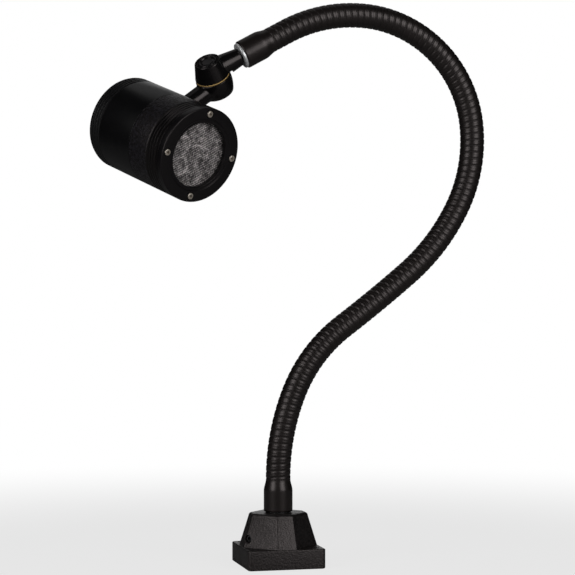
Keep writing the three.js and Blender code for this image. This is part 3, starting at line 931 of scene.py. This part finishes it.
def side_screw_frame():
    out = Vector((-1, -1, 0)).normalized()
    along = Vector((-1, 1, 0)).normalized()
    place = along * SIDE_SCREW_OFFSET + Vector((0, 0, SIDE_SCREW_HEIGHT))
    return aimed(place * MM, out, along)


def lock_screw_frame():
    return aimed((0, 0, LOCK_SCREW_HEIGHT * MM), (-1, 0, 0), (0, 0, 1))


def collar():
    corners = [
        (SOCKET_RADIUS, CASTING_TOP + 0.3), (COLLAR_RADIUS, CASTING_TOP + 0.3),
        (COLLAR_RADIUS, COLLAR_TOP), (SOCKET_RADIUS, COLLAR_TOP), (SOCKET_RADIUS, CASTING_TOP + 0.3),
    ]
    piece = turned("foot_collar", corners, MEDIUM, base_frame(), gloss_enamel())
    return own(piece, "base", "gloss_paint", "neck_collar")


def grommet():
    face = BLOCK_HALF
    corners = [
        (GROMMET_BORE, face - 3.6), (6, face - 3.6), (6, face + 0.3), (7.8, face + 0.3, 0.3),
        (7.8, face + 1.4, 0.5), (7, face + 2.2, 0.6), (GROMMET_BORE, face + 2.2, 0.5),
        (GROMMET_BORE, face - 3.6),
    ]
    piece = turned("inlet_grommet", corners, SMALL, inlet_frame(), black_rubber())
    return own(piece, "base", "rubber", "cable_grommet")


# ---- repeated pieces -------------------------------------------------------------------------------


def copies_tree():
    """One copy of a template on each point, turned to the point's facing and scaled by its size."""
    found = bpy.data.node_groups.get("copies on points")
    if found:
        return found
    inputs = [("Template", "Object", None)]
    net, wires, close = geometry_tree("copies on points", inputs)
    source = {"Object": wires["Template"]}
    template = net.node("GeometryNodeObjectInfo", {"transform_space": "ORIGINAL"}, source, "Geometry")
    facing = net.node("GeometryNodeInputNamedAttribute", {"data_type": "FLOAT_VECTOR"}, {"Name": "facing"})
    grade = net.node("GeometryNodeInputNamedAttribute", {"data_type": "FLOAT"}, {"Name": "grade"})
    turn = net.node("FunctionNodeAlignRotationToVector", {"axis": "Z"}, {"Vector": facing})
    sockets = {"Points": wires["Geometry"], "Instance": template, "Rotation": turn, "Scale": grade}
    return close(net.node("GeometryNodeInstanceOnPoints", None, sockets))


def copies(name, template, places, frame_matrix, material):
    """Copies of a template at [place, facing, size] rows of a frame."""
    seeds = mesh_from(name, [place for place, _, _ in places])
    on_points(seeds, "facing", "FLOAT_VECTOR", [way for _, way, _ in places])
    on_points(seeds, "grade", "FLOAT", [factor for _, _, factor in places])
    piece = grown(name, seeds, copies_tree(), material, {"Template": template})
    bpy.data.objects.remove(template)
    shaded(piece.data)
    piece.data.transform(frame_matrix)
    return piece


def hex_key(radius, depth, top):
    """A hexagonal cutter for a key socket."""
    return rod(radius, top - depth, top + 1, 6, Matrix())


def set_screws():
    """The side screw and the lock screw, as copies of one headless screw with a key socket and a cup edge."""
    corners = [(0, -9), (0.75, -9, 0.1), (1, -8.7, 0.1), (1, -0.12, 0.08), (0.88, 0, 0.05), (0, 0)]
    template = turned("headless_screw", corners, SMALL, Matrix(), None)
    worked(template, "DIFFERENCE", [hex_key(0.58, 0.8, 0)])
    rows = []
    for matrix, radius, top in (
        (side_screw_frame(), SIDE_SCREW_RADIUS, SIDE_SCREW_TOP),
        (lock_screw_frame(), LOCK_SCREW_RADIUS, LOCK_SCREW_TOP),
    ):
        place = matrix @ Vector((0, 0, top)) / MM
        rows.append((place, matrix.to_3x3().col[2].normalized(), radius))
    piece = copies("set_screws", template, rows, base_frame(), black_oxide())
    return own(piece, "base", "dark_steel", "side_screw", "lock_screw")


def screw_places():
    angles = (math.radians(SCREW_PHASE + 90 * index) for index in range(4))
    return [Vector((SCREW_CIRCLE * math.cos(angle), SCREW_CIRCLE * math.sin(angle), 0)) for angle in angles]


def bezel_screws():
    top = 1.8
    corners = [
        (0, -12.5), (1.2, -12.5, 0.2), (1.35, -12, 0.1), (1.35, 0),
        (2.6, 0, 0.15), (2.6, top, 0.55), (0, top),
    ]
    template = turned("cap_screw", corners, SMALL, Matrix(), None)
    worked(template, "DIFFERENCE", [hex_key(1.3, 1.5, top)])
    seats = [place + Vector((0, 0, HEAD_FRONT - 1.3)) for place in screw_places()]
    rows = [(seat, Vector((0, 0, 1)), 1) for seat in seats]
    # Key sockets in the screw heads, where the steel's colour is painted dark as shade.
    sockets = [(head_frame() @ (seat + Vector((0, 0, 0.6))), 1.25 * MM) for seat in seats]
    steel = metal("stainless steel", (0.78, 0.7, 0.6), 0.26, 0.85, sockets)
    piece = copies("bezel_screws", template, rows, head_frame(), steel)
    return own(piece, "head", "stainless", *(f"bezel_screw_{n}" for n in range(1, 5)))


def lens_places():
    count = bpy.context.scene.lamp_head.lens_count
    places = [Vector((0, 0, 0))]
    for index in range(count):
        angle = 2 * math.pi * index / count
        places.append(Vector((LENS_PITCH * math.cos(angle), LENS_PITCH * math.sin(angle), 0)))
    return places


def lens_cups():
    corners = [
        (0, -12.6), (3.2, -12.6, 0.4), (7.7, -1.2, 0.5), (8.1, 0.1, 0.15), (7.5, 0.1, 0.15), (6.6, -1.9, 0.4),
        (5.6, -1.9, 0.4), (4.6, -0.7, 0.9), (0, 0),
    ]
    template = turned("lens", corners, SMALL, Matrix(), None, limit=60)
    rows = [(place + Vector((0, 0, LENS_CROWN)), Vector((0, 0, 1)), 1) for place in lens_places()]
    piece = copies("lens_cups", template, rows, head_frame(), lens_acrylic())
    return own(piece, "head", "lens_clear", "lens_cluster")


# ---- neck ------------------------------------------------------------------------------------------


def sheath_tree():
    """A sheath grown round a path: smooth sleeves at both ends of the neck and wound ribs between them."""
    found = bpy.data.node_groups.get("ribbed sheath")
    if found:
        return found
    inputs = [
        ("Sides", "Int", 72), ("Radius", "Float", 0.01),
        ("Pitch", "Float", 0.0055), ("Groove", "Float", 0.0004),
        ("Sleeve Radius", "Float", SLEEVE_RADIUS * MM), ("Sleeve Length", "Float", SLEEVE_LENGTH * MM),
        ("Sleeve Taper", "Float", SLEEVE_TAPER * MM), ("Neck Length", "Float", NECK_LENGTH * MM),
    ]
    net, wires, close = geometry_tree("ribbed sheath", inputs)

    def stored(name, kind):
        return net.node("GeometryNodeInputNamedAttribute", {"data_type": kind}, {"Name": name})

    path = net.node("GeometryNodeMeshToCurve", None, {"Mesh": wires["Geometry"]})
    sockets = {"Resolution": wires["Sides"], "Radius": wires["Radius"]}
    circle = net.node("GeometryNodeCurvePrimitiveCircle", None, sockets)
    sockets = {"Curve": path, "Profile Curve": circle, "Fill Caps": True}
    tube = net.node("GeometryNodeCurveToMesh", None, sockets)
    along = stored("along", "FLOAT")
    centre = stored("centre", "FLOAT_VECTOR")
    ahead = stored("ahead", "FLOAT_VECTOR")
    place = net.node("GeometryNodeInputPosition")
    outwards = net.vector("NORMALIZE", net.vector("SUBTRACT", place, centre))
    upwards = net.vector("CROSS_PRODUCT", ahead, (0, 1, 0))
    side = net.vector("DOT_PRODUCT", outwards, (0, 1, 0), out="Value")
    angle = net.maths("ARCTAN2", side, net.vector("DOT_PRODUCT", outwards, upwards, out="Value"))
    sockets = {"W": along * 40, "Scale": 1, "Detail": 1}
    wander = net.node("ShaderNodeTexNoise", {"noise_dimensions": "1D"}, sockets)
    turns = along / wires["Pitch"] + angle / (2 * math.pi) + (wander - 0.5) * 0.25
    phase = net.maths("FRACT", turns)
    edge = net.maths("MINIMUM", phase, 1 - phase) * wires["Pitch"] / (0.6 * MM)
    halfway = abs(phase - 0.5) * wires["Pitch"] / (0.5 * MM)
    main_groove = net.maths("EXPONENT", -(edge * edge))
    faint_groove = net.maths("EXPONENT", -(halfway * halfway)) * 0.3
    crown = 1 - (phase * 2 - 1) ** 2
    end = net.maths("MINIMUM", along, wires["Neck Length"] - along)
    sleeve_end = wires["Sleeve Length"] + wires["Sleeve Taper"]
    ribbed = net.between(end, sleeve_end - 0.002, sleeve_end + 0.001)
    sleeved = 1 - net.between(end, wires["Sleeve Length"] - 0.002, sleeve_end)
    mark = (main_groove + faint_groove) * ribbed
    radius = wires["Radius"] + sleeved * (wires["Sleeve Radius"] - wires["Radius"])
    radius = radius + wires["Groove"] * (crown * 0.5 * ribbed - mark)
    lip = 1 - net.maths("MINIMUM", end / (0.8 * MM), 1)
    radius = radius - (lip * lip) * (0.5 * MM)
    moved = net.vector("ADD", centre, net.vector("SCALE", outwards, radius))
    shaped = net.node("GeometryNodeSetPosition", None, {"Geometry": tube, "Position": moved})
    # The groove marks go to the vinyl, which paints shade along them.
    sockets = {"Geometry": shaped, "Name": "groove", "Value": mark}
    marked = net.node("GeometryNodeStoreNamedAttribute", {"data_type": "FLOAT", "domain": "POINT"}, sockets)
    return close(marked)


def sheath_seed(name, start, end):
    """The centre line from one distance to another, with what the tree needs on its points."""
    step = 0.45
    count = max(2, round((end - start) / step))
    distances = [start + (end - start) * index / count for index in range(count + 1)]
    points = [neck_point(distance) for distance in distances]
    mesh = mesh_from(name, points, edges=[(index, index + 1) for index in range(count)])
    on_points(mesh, "along", "FLOAT", [distance * MM for distance in distances])
    on_points(mesh, "centre", "FLOAT_VECTOR", points)
    on_points(mesh, "ahead", "FLOAT_VECTOR", [neck_direction(distance) for distance in distances])
    return mesh


def sheath(name, start, end):
    look = bpy.context.scene.lamp_neck
    values = {"Radius": look.radius, "Pitch": look.pitch, "Groove": look.groove}
    piece = grown(name, sheath_seed(name, start, end), sheath_tree(), sheath_vinyl(), values)
    for spare in ("along", "centre", "ahead"):
        if spare in piece.data.attributes:
            piece.data.attributes.remove(piece.data.attributes[spare])
    shaded(piece.data, 60)
    return piece


def neck():
    """The sleeve on the base, one length of sheath over each hinge, and the sleeve at the knuckle."""
    own(sheath("sheath_foot", 0, NECK_FOOT), "base", "sheath", "neck_foot")
    for number in range(1, len(ARC_TURNS) + 1):
        start = NECK_FOOT + ARC_LENGTH * (number - 1)
        piece = sheath(f"sheath_{number}", start, start + ARC_LENGTH)
        neck_point(start)
        neck_point(start + ARC_LENGTH)
        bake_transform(piece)
        if number < len(ARC_TURNS):
            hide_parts(f"neck_link_{number}")
    own(sheath("sheath_tip", NECK_LENGTH - NECK_TIP, NECK_LENGTH), "tip", "sheath", "neck_tip")


def ferrule_ring():
    """The neck's end ferrule, whose flange shows beyond the sleeve."""
    foot = 1 - SLEEVE_LENGTH
    corners = [
        (6, foot), (FERRULE_RADIUS, foot), (FERRULE_RADIUS, 0), (FLANGE_RADIUS, 0, 0.25),
        (FLANGE_RADIUS, FLANGE_THICK, 0.5), (6, FLANGE_THICK, 0.3), (6, foot),
    ]
    piece = turned("ferrule_ring", corners, MEDIUM, neck_end_frame(), bright_plating())
    return own(piece, "tip", "bright_steel", "upper_ferrule")


# ---- knuckle ---------------------------------------------------------------------------------------


def cast_tree(name, field, low, high):
    """A tree that grows the surface where field(net, x, y, z, fillet) is 0, in millimetres."""
    found = bpy.data.node_groups.get(name)
    if found:
        return found
    net, wires, close = geometry_tree(name, [("Fillet", "Float", 2.5), ("Step", "Float", 0.35)])
    x, y, z = net.parts(net.node("GeometryNodeInputPosition"))
    depth = -field(net, x, y, z, wires["Fillet"])
    sockets = {"Density": depth, "Background": -1.0, "Min": low, "Max": high}
    for axis, start, end in zip("XYZ", low, high):
        sockets["Resolution " + axis] = (end - start) / wires["Step"]
    volume = net.node("GeometryNodeVolumeCube", None, sockets)
    surface = net.node("GeometryNodeVolumeToMesh", None, {"Volume": volume, "Threshold": 0.0})
    return close(surface)


def reach_of(net, *lengths):
    """The root of the sum of squares."""
    total = lengths[0] * lengths[0]
    for length in lengths[1:]:
        total = total + length * length
    return net.maths("SQRT", total)


def upper_field(net, x, y, z, fillet):
    radius = reach_of(net, x, y)
    drum = net.soft_max(radius - (14.7 - z * 0.27), z - DRUM_HEIGHT, 0.9)
    drum = net.soft_max(drum, SEAT_GAP - z, 0.4)
    girth = 9.4 - net.maths("MAXIMUM", x - 11, 0) * 0.13
    stem = reach_of(net, y, z - NECK_STEM_RISE) - girth
    stem = net.soft_max(stem, x - STEM_REACH, 0.7)
    stem = net.maths("MAXIMUM", stem, -x)
    under = net.soft_max(radius - 17, z - SEAT_GAP, 0.6)
    stem = net.soft_max(stem, -under, 0.6)
    body = net.maths("SMOOTH_MIN", drum, stem, fillet)
    recess = net.maths("MAXIMUM", radius - CAP_RADIUS - CAP_GAP, DRUM_HEIGHT - 2.4 - z)
    body = net.soft_max(body, -recess, 0.3)
    line = net.maths("MAXIMUM", abs(radius - CAP_RADIUS - RIM_LINE) - 0.3, DRUM_HEIGHT - 1.3 - z)
    body = net.soft_max(body, -line, 0.15)
    return net.maths("MAXIMUM", body, CLAMP_HOLE - radius)


def lower_field(net, x, y, z, fillet):
    radius = reach_of(net, x, y)
    swell = (z + 5) * (z + 5) * 0.016
    drum = net.soft_max(radius - (14.9 - swell), -LOWER_DRUM_HEIGHT - z, 1.4)
    drum = net.soft_max(drum, z + SEAT_GAP, 0.6)
    stem = reach_of(net, y, z + HEAD_STEM_DROP) - (8.4 + x * 0.006)
    stem = net.maths("MAXIMUM", stem, x)
    stem = net.soft_max(stem, z + SEAT_GAP, 0.4)
    body = net.maths("SMOOTH_MIN", drum, stem, fillet)
    housing = HEAD_RADIUS + 0.25 - reach_of(net, x + STEM_TO_HEAD_AXIS, z + HEAD_STEM_DROP)
    body = net.soft_max(body, housing, 0.3)
    spigot = reach_of(net, y, z + HEAD_STEM_DROP) - 5
    spigot = net.maths("MAXIMUM", spigot, net.maths("MAXIMUM", x + 30, -46.6 - x))
    body = net.maths("MINIMUM", body, spigot)
    recess = net.maths("MAXIMUM", radius - 7.2, z + LOWER_DRUM_HEIGHT - 5.5)
    body = net.soft_max(body, -recess, 0.5)
    return net.maths("MAXIMUM", body, CLAMP_HOLE - radius)


def cast_half(name, field, low, high, frame_matrix):
    look = bpy.context.scene.lamp_knuckle
    seed = mesh_from(name, [(0, 0, 0)])
    values = {"Fillet": look.blend / MM, "Step": look.voxel / MM}
    piece = grown(name, seed, cast_tree(name + " shape", field, low, high), gloss_enamel(), values)
    shaded(piece.data, 180)
    piece.data.transform(frame_matrix)
    return piece


def knuckle_halves():
    upper = cast_half("knuckle_neck_half", upper_field, (-16, -16, -6), (27, 16, 17), knuckle_frame())
    own(upper, "tip", "gloss_paint", "knuckle_upper")
    lower = cast_half("knuckle_head_half", lower_field, (-48, -17, -18.5), (17, 17, 1), arm_frame())
    own(lower, "head", "gloss_paint", "knuckle_lower")


def clamp_hardware():
    """The screw with its dished cap, the brass washer, the cone washer and the nut."""
    frame_matrix = knuckle_frame()
    top = DRUM_HEIGHT + 0.2
    seat = DRUM_HEIGHT - 2.1
    foot = 0.6 - LOWER_DRUM_HEIGHT
    corners = [
        (0, foot), (2.6, foot, 0.2), (3, foot + 0.5, 0.1), (3, seat),
        (CAP_RADIUS, seat), (CAP_RADIUS, top, 0.5),
        (CAP_RADIUS - 1.2, top, 0.35), (CAP_RADIUS - 1.7, top - 1, 0.2), (CAP_RADIUS - 2.3, top - 1, 0.3),
        (CAP_RADIUS - 3.2, top - 0.7, 0.8), (0, top - 0.9),
    ]
    screw = turned("clamp_cap_screw", corners, MEDIUM, frame_matrix, gloss_enamel())
    own(screw, "tip", "clamp_paint", "clamp_screw")
    half = WASHER_HALF
    corners = [
        (5.2, -half), (WASHER_RADIUS, -half, 0.15), (WASHER_RADIUS, half, 0.15), (5.2, half), (5.2, -half),
    ]
    brass = metal("brass", (0.95, 0.62, 0.24), 0.38, 0.55)
    washer = turned("brass_washer", corners, MEDIUM, frame_matrix, brass)
    own(washer, "tip", "brass_washer", "friction_washer")
    rest = 5.2 - LOWER_DRUM_HEIGHT
    corners = [
        (CLAMP_HOLE, rest - 0.8), (6.6, rest - 1.2, 0.1), (6.6, rest - 0.4, 0.1),
        (CLAMP_HOLE, rest), (CLAMP_HOLE, rest - 0.8),
    ]
    cone = turned("cone_washer", corners, MEDIUM, frame_matrix, bright_plating())
    own(cone, "tip", "bright_steel", "spring_washer")
    high = 3.7 - LOWER_DRUM_HEIGHT
    nut = turned(
        "lock_nut", [(0, high - 3), (5.77, high - 3), (5.77, high), (0, high)], 6, frame_matrix,
        black_oxide(), limit=20,
    )
    dome = [
        (0, high - 3.4), (4.4, high - 3.4), (5.9, high - 2.5),
        (5.9, high - 0.5), (4.9, high + 0.1), (0, high + 0.1),
    ]
    worked(nut, "INTERSECT", [turned("cutter", dome, SMALL, frame_matrix, None)], 20)
    worked(nut, "DIFFERENCE", [rod(CLAMP_HOLE, high - 4, high + 1, SMALL, frame_matrix)], 20)
    own(nut, "tip", "dark_steel", "clamp_nut")


# ---- head ------------------------------------------------------------------------------------------


def lip(height):
    """Corners of a low lip inside a seam, which closes it to light."""
    radius = HEAD_RADIUS - LIP_INSET
    return [(radius, height), (radius, height + SEAM_LIP)]


def grooves(start, pitch, count, depth):
    """Corners of equal grooves that follow one another up a turned wall."""
    corners = []
    for index in range(count):
        height = start + pitch * index
        corners.append((HEAD_RADIUS, height, 0.2))
        corners.append((HEAD_RADIUS - depth, height + pitch * 0.34, 0.15))
        corners.append((HEAD_RADIUS - depth, height + pitch * 0.52, 0.15))
        corners.append((HEAD_RADIUS, height + pitch * 0.68, 0.2))
    return corners


def housings():
    head = head_frame()
    inner = HEAD_RADIUS - REAR_WALL
    back = COVER_SEAM
    corners = [
        (inner, back), (HEAD_RADIUS, back, 0.3), *grooves(REAR_GROOVES, 3, 4, 1),
        (HEAD_RADIUS, BODY_SEAM, 0.15), *lip(BODY_SEAM), (inner, BODY_SEAM + SEAM_LIP), (inner, back),
    ]
    body = turned("rear_housing", corners, FINE, head, smooth_anodising())
    own(body, "head", "anodised", "head_body")
    edge = COVER_EDGE
    corners = [
        (0, HEAD_BACK + 0.6), (24, HEAD_BACK + 0.6, 0.3), (25, HEAD_BACK, 0.3),
        (HEAD_RADIUS - 0.6, HEAD_BACK, 1.3), (HEAD_RADIUS - 0.6, edge, 0.2),
        *lip(edge), (inner - 0.3, edge + SEAM_LIP), (inner - 0.3, HEAD_BACK + 6),
        (inner - 2.3, HEAD_BACK + 6), (inner - 2.3, HEAD_BACK + 3), (0, HEAD_BACK + 3),
    ]
    cover = turned("rear_cover_cap", corners, FINE, head, smooth_anodising())
    own(cover, "head", "anodised", "rear_cover")
    inner = HEAD_RADIUS - FRONT_WALL
    ledge = GLASS_TOP - GLASS_THICK - 0.3
    low = BODY_SEAM + SEAM_GAP
    high = BEZEL_SEAM - SEAM_GAP
    corners = [
        (inner, low), (HEAD_RADIUS, low, 0.15), *grooves(GRIP_GROOVES, 3.2, 4, 1.2),
        (HEAD_RADIUS, high, 0.2), *lip(high), (inner, high + SEAM_LIP), (inner, ledge),
        (LEDGE_RADIUS, ledge, 0.2), (LEDGE_RADIUS, ledge - 1.2, 0.2), (inner, ledge - 1.2), (inner, low),
    ]
    front = turned("front_housing", corners, FINE, head, grained_anodising())
    own(front, "head", "anodised_grip", "head_front")


def bezel_ring():
    head = head_frame()
    seat = GLASS_RADIUS + 0.3
    corners = [
        (seat, BEZEL_SEAM), (HEAD_RADIUS, BEZEL_SEAM, 0.2), (HEAD_RADIUS, HEAD_FRONT, 0.9),
        (WINDOW_RADIUS + 3.4, HEAD_FRONT, 0.3), (WINDOW_RADIUS + 2.8, HEAD_FRONT - 0.7, 0.2),
        (WINDOW_RADIUS + 0.6, HEAD_FRONT - 0.7, 0.3), (WINDOW_RADIUS, HEAD_FRONT - 1.5, 0.2),
        (WINDOW_RADIUS, BEZEL_LIP, 0.2), (seat, BEZEL_LIP), (seat, BEZEL_SEAM),
    ]
    ring = turned("bezel_ring", corners, FINE, head, matt_anodising())
    cutters = []
    for middle in screw_places():
        place = head @ Matrix.Translation(middle)
        corners = [
            (0, BEZEL_SEAM - 1), (1.65, BEZEL_SEAM - 1), (1.65, HEAD_FRONT - 1.6), (2.95, HEAD_FRONT - 1.6),
            (2.95, HEAD_FRONT - 0.25), (3.3, HEAD_FRONT + 0.1), (3.3, HEAD_FRONT + 1), (0, HEAD_FRONT + 1),
        ]
        cutters.append(turned("cutter", corners, SMALL, place, None))
    worked(ring, "DIFFERENCE", cutters)
    own(ring, "head", "anodised_matt", "bezel")


def window():
    head = head_frame()
    low = GLASS_TOP - GLASS_THICK
    corners = [(0, low), (GLASS_RADIUS, low, 0.4), (GLASS_RADIUS, GLASS_TOP, 0.4), (0, GLASS_TOP)]
    glass = turned("window_plate", corners, FINE, head, window_glass())
    own(glass, "head", "window_glass", "glass")
    inner = WINDOW_RADIUS + 0.4
    corners = [
        (inner, SEAL_LOW, 0.2), (GLASS_RADIUS, SEAL_LOW, 0.2), (GLASS_RADIUS, SEAL_HIGH, 0.3),
        (inner, SEAL_HIGH, 0.3), (inner, SEAL_LOW),
    ]
    seal = turned("window_seal", corners, FINE, head, black_rubber())
    own(seal, "head", "rubber", "glass_seal")
    low, high = LENS_CROWN - 2.2, LENS_CROWN - 0.9
    corners = [(0, low), (27.6, low), (27.6, high, 0.3), (0, high)]
    plate = turned("lens_plate", corners, FINE, head, lens_acrylic())
    own(plate, "head", "lens_clear", "lens_cluster")
    lens_cups()


# ---- inner pieces ----------------------------------------------------------------------------------


def inner_finishes():
    """Finishes for the CAD pieces that stay."""
    plating = bright_plating()
    finishes = {
        "lower_ferrule": plating,
        "stem_nut": plating,
        "driver_board": plain("driver laminate", (0.02, 0.09, 0.035), 0.45),
        "led_board": plain("board lacquer", (0.72, 0.7, 0.64), 0.4),
        "heat_spreader": metal("turned aluminium", (0.42, 0.42, 0.43), 0.35),
    }
    for name, finish in finishes.items():
        mesh = frame["nodes"][name].data
        mesh.materials.clear()
        mesh.materials.append(finish)


# ---- stage -----------------------------------------------------------------------------------------


def direction(azimuth, elevation):
    """From the lamp towards a place: azimuth 0 is the front, in degrees."""
    a, e = math.radians(azimuth), math.radians(elevation)
    return Vector((math.sin(a) * math.cos(e), -math.cos(a) * math.cos(e), math.sin(e)))


def camera():
    look = bpy.context.scene.lamp_stage
    forward = Vector((math.sin(-look.azimuth), math.cos(look.azimuth), 0))
    right = Vector((math.cos(look.azimuth), math.sin(look.azimuth), 0))
    data = bpy.data.cameras.new("camera")
    data.sensor_width = 36
    data.lens = data.sensor_width * look.distance / look.width
    made = bpy.data.objects.new("camera", data)
    bpy.context.scene.collection.objects.link(made)
    made.location = right * look.aside - forward * look.distance + Vector((0, 0, look.height))
    made.rotation_mode = "QUATERNION"
    made.rotation_quaternion = forward.to_track_quat("-Z", "Y")
    bpy.context.scene.camera = made


def softbox(name, azimuth, elevation, width, height, radiance):
    data = bpy.data.lights.new(name, "AREA")
    data.shape = "RECTANGLE"
    data.size, data.size_y = width, height
    data.energy = radiance * math.pi * width * height
    made = bpy.data.objects.new(name, data)
    bpy.context.scene.collection.objects.link(made)
    middle = Vector((0, 0, SOFTBOX_AIM))
    made.location = middle + direction(azimuth, elevation) * SOFTBOX_DISTANCE
    made.rotation_mode = "QUATERNION"
    made.rotation_quaternion = (middle - made.location).to_track_quat("-Z", "Y")


def studio_world():
    world = bpy.data.worlds.new("studio")
    bpy.context.scene.world = world
    world.use_nodes = True
    world.node_tree.nodes.clear()
    net = Net(world.node_tree)
    way = net.node("ShaderNodeTexCoord", out="Generated")
    behind = net.vector("DOT_PRODUCT", way, tuple(-direction(VIEW_AZIMUTH, 0)), out="Value")
    path = net.node("ShaderNodeLightPath")
    mirrored = net.maths("MAXIMUM", path["Is Glossy Ray"], path["Is Transmission Ray"])
    backdrop = mirrored * net.between(behind, 0.95, 0.985)
    strength = net.maths("MAXIMUM", 0.012 + backdrop, path["Is Camera Ray"])
    shader = net.node("ShaderNodeBackground", None, {"Color": (1, 1, 1, 1), "Strength": strength})
    net.node("ShaderNodeOutputWorld", None, {"Surface": shader})


def floor():
    points = [(0, 0, -FLOOR_DROP)]
    for index in range(FLOOR_SIDES):
        angle = math.tau * index / FLOOR_SIDES
        points.append((FLOOR_RADIUS * math.cos(angle), FLOOR_RADIUS * math.sin(angle), -FLOOR_DROP))
    faces = [(0, 1 + index, 1 + (index + 1) % FLOOR_SIDES) for index in range(FLOOR_SIDES)]
    made = bpy.data.materials.new("studio floor")
    made.use_nodes = True
    made.node_tree.nodes.clear()
    net = Net(made.node_tree)
    place = net.node("ShaderNodeTexCoord", out="Object")
    away = net.vector("LENGTH", place, out="Value")
    far = net.between(away, 0.25, 0.9)
    matt = net.node("ShaderNodeBsdfDiffuse", None, {"Color": (0.4, 0.4, 0.4, 1)})
    path = net.node("ShaderNodeLightPath")
    white = net.node("ShaderNodeEmission", None, {"Color": (1, 1, 1, 1), "Strength": 1.0})
    shown = path["Is Camera Ray"] * (0.76 + 0.24 * far)
    shader = net.node("ShaderNodeMixShader", None, {0: shown, 1: matt, 2: white})
    net.node("ShaderNodeOutputMaterial", None, {"Surface": shader})
    piece_of("studio_floor", mesh_from("studio_floor", points, faces), made)


def stage():
    bpy.context.scene.view_settings.view_transform = "Standard"
    camera()
    softbox("left softbox", -60, 17, 0.8, 1.0, 3.4)
    softbox("right softbox", 26, 17, 0.8, 1.0, 3.6)
    softbox("back softbox", 172, 22, 0.42, 0.9, 0.55)
    softbox("top softbox", 166, 64, 1.1, 0.9, 0.27)
    studio_world()
    floor()


# ---- operators -------------------------------------------------------------------------------------


class LAMP_OT_stage(bpy.types.Operator):
    """Makes the camera, the softboxes, the white surroundings and the floor"""

    bl_idname = "lamp.stage"
    bl_label = "Make the stage"

    def execute(self, context):
        stage()
        return {"FINISHED"}


class LAMP_OT_base(bpy.types.Operator):
    """Makes the casting, the collar and the inlet grommet"""

    bl_idname = "lamp.base"
    bl_label = "Make the base"

    def execute(self, context):
        casting()
        collar()
        grommet()
        return {"FINISHED"}


class LAMP_OT_screws(bpy.types.Operator):
    """Makes the set screws in the base and the cap screws in the bezel"""

    bl_idname = "lamp.screws"
    bl_label = "Make the screws"

    def execute(self, context):
        set_screws()
        bezel_screws()
        return {"FINISHED"}


class LAMP_OT_neck(bpy.types.Operator):
    """Makes the sheath in lengths, one over each hinge, and the bright ring at its end"""

    bl_idname = "lamp.neck"
    bl_label = "Make the neck"

    def execute(self, context):
        neck()
        ferrule_ring()
        return {"FINISHED"}


class LAMP_OT_knuckle(bpy.types.Operator):
    """Makes the two cast halves of the knuckle and its clamping hardware"""

    bl_idname = "lamp.knuckle"
    bl_label = "Make the knuckle"

    def execute(self, context):
        knuckle_halves()
        clamp_hardware()
        return {"FINISHED"}


class LAMP_OT_head(bpy.types.Operator):
    """Makes the housings, the bezel, the window and the lenses"""

    bl_idname = "lamp.head"
    bl_label = "Make the head"

    def execute(self, context):
        housings()
        bezel_ring()
        window()
        return {"FINISHED"}


class LAMP_OT_inner(bpy.types.Operator):
    """Gives the inner CAD pieces their finishes"""

    bl_idname = "lamp.inner"
    bl_label = "Finish the inner pieces"

    def execute(self, context):
        inner_finishes()
        return {"FINISHED"}


class LAMP_PT_panel(bpy.types.Panel):
    """Lists the steps and their settings"""

    bl_idname = "LAMP_PT_panel"
    bl_label = "Examination Lamp"
    bl_space_type = "VIEW_3D"
    bl_region_type = "UI"
    bl_category = "Lamp"

    def draw(self, context):
        for operator, look in STEPS:
            self.layout.operator(operator)
            if look:
                settings = getattr(context.scene, look)
                for name in settings.__annotations__:
                    self.layout.prop(settings, name)


STEPS = (
    ("lamp.stage", "lamp_stage"),
    ("lamp.base", "lamp_base"),
    ("lamp.screws", None),
    ("lamp.neck", "lamp_neck"),
    ("lamp.knuckle", "lamp_knuckle"),
    ("lamp.head", "lamp_head"),
    ("lamp.inner", None),
)
LOOKS = {
    "lamp_base": BaseLook,
    "lamp_neck": NeckLook,
    "lamp_knuckle": KnuckleLook,
    "lamp_head": HeadLook,
    "lamp_stage": StageLook,
}
OPERATORS = (
    LAMP_OT_stage, LAMP_OT_base, LAMP_OT_screws, LAMP_OT_neck, LAMP_OT_knuckle, LAMP_OT_head, LAMP_OT_inner,
    LAMP_PT_panel,
)


def register():
    for name, look in LOOKS.items():
        bpy.utils.register_class(look)
        setattr(bpy.types.Scene, name, PointerProperty(type=look))
    for made in OPERATORS:
        bpy.utils.register_class(made)


def unregister():
    for made in reversed(OPERATORS):
        bpy.utils.unregister_class(made)
    for name, look in reversed(LOOKS.items()):
        delattr(bpy.types.Scene, name)
        bpy.utils.unregister_class(look)


def main():
    register()
    for operator, _ in STEPS:
        group, name = operator.split(".")
        getattr(getattr(bpy.ops, group), name)()


if __name__ == "__main__":
    main()
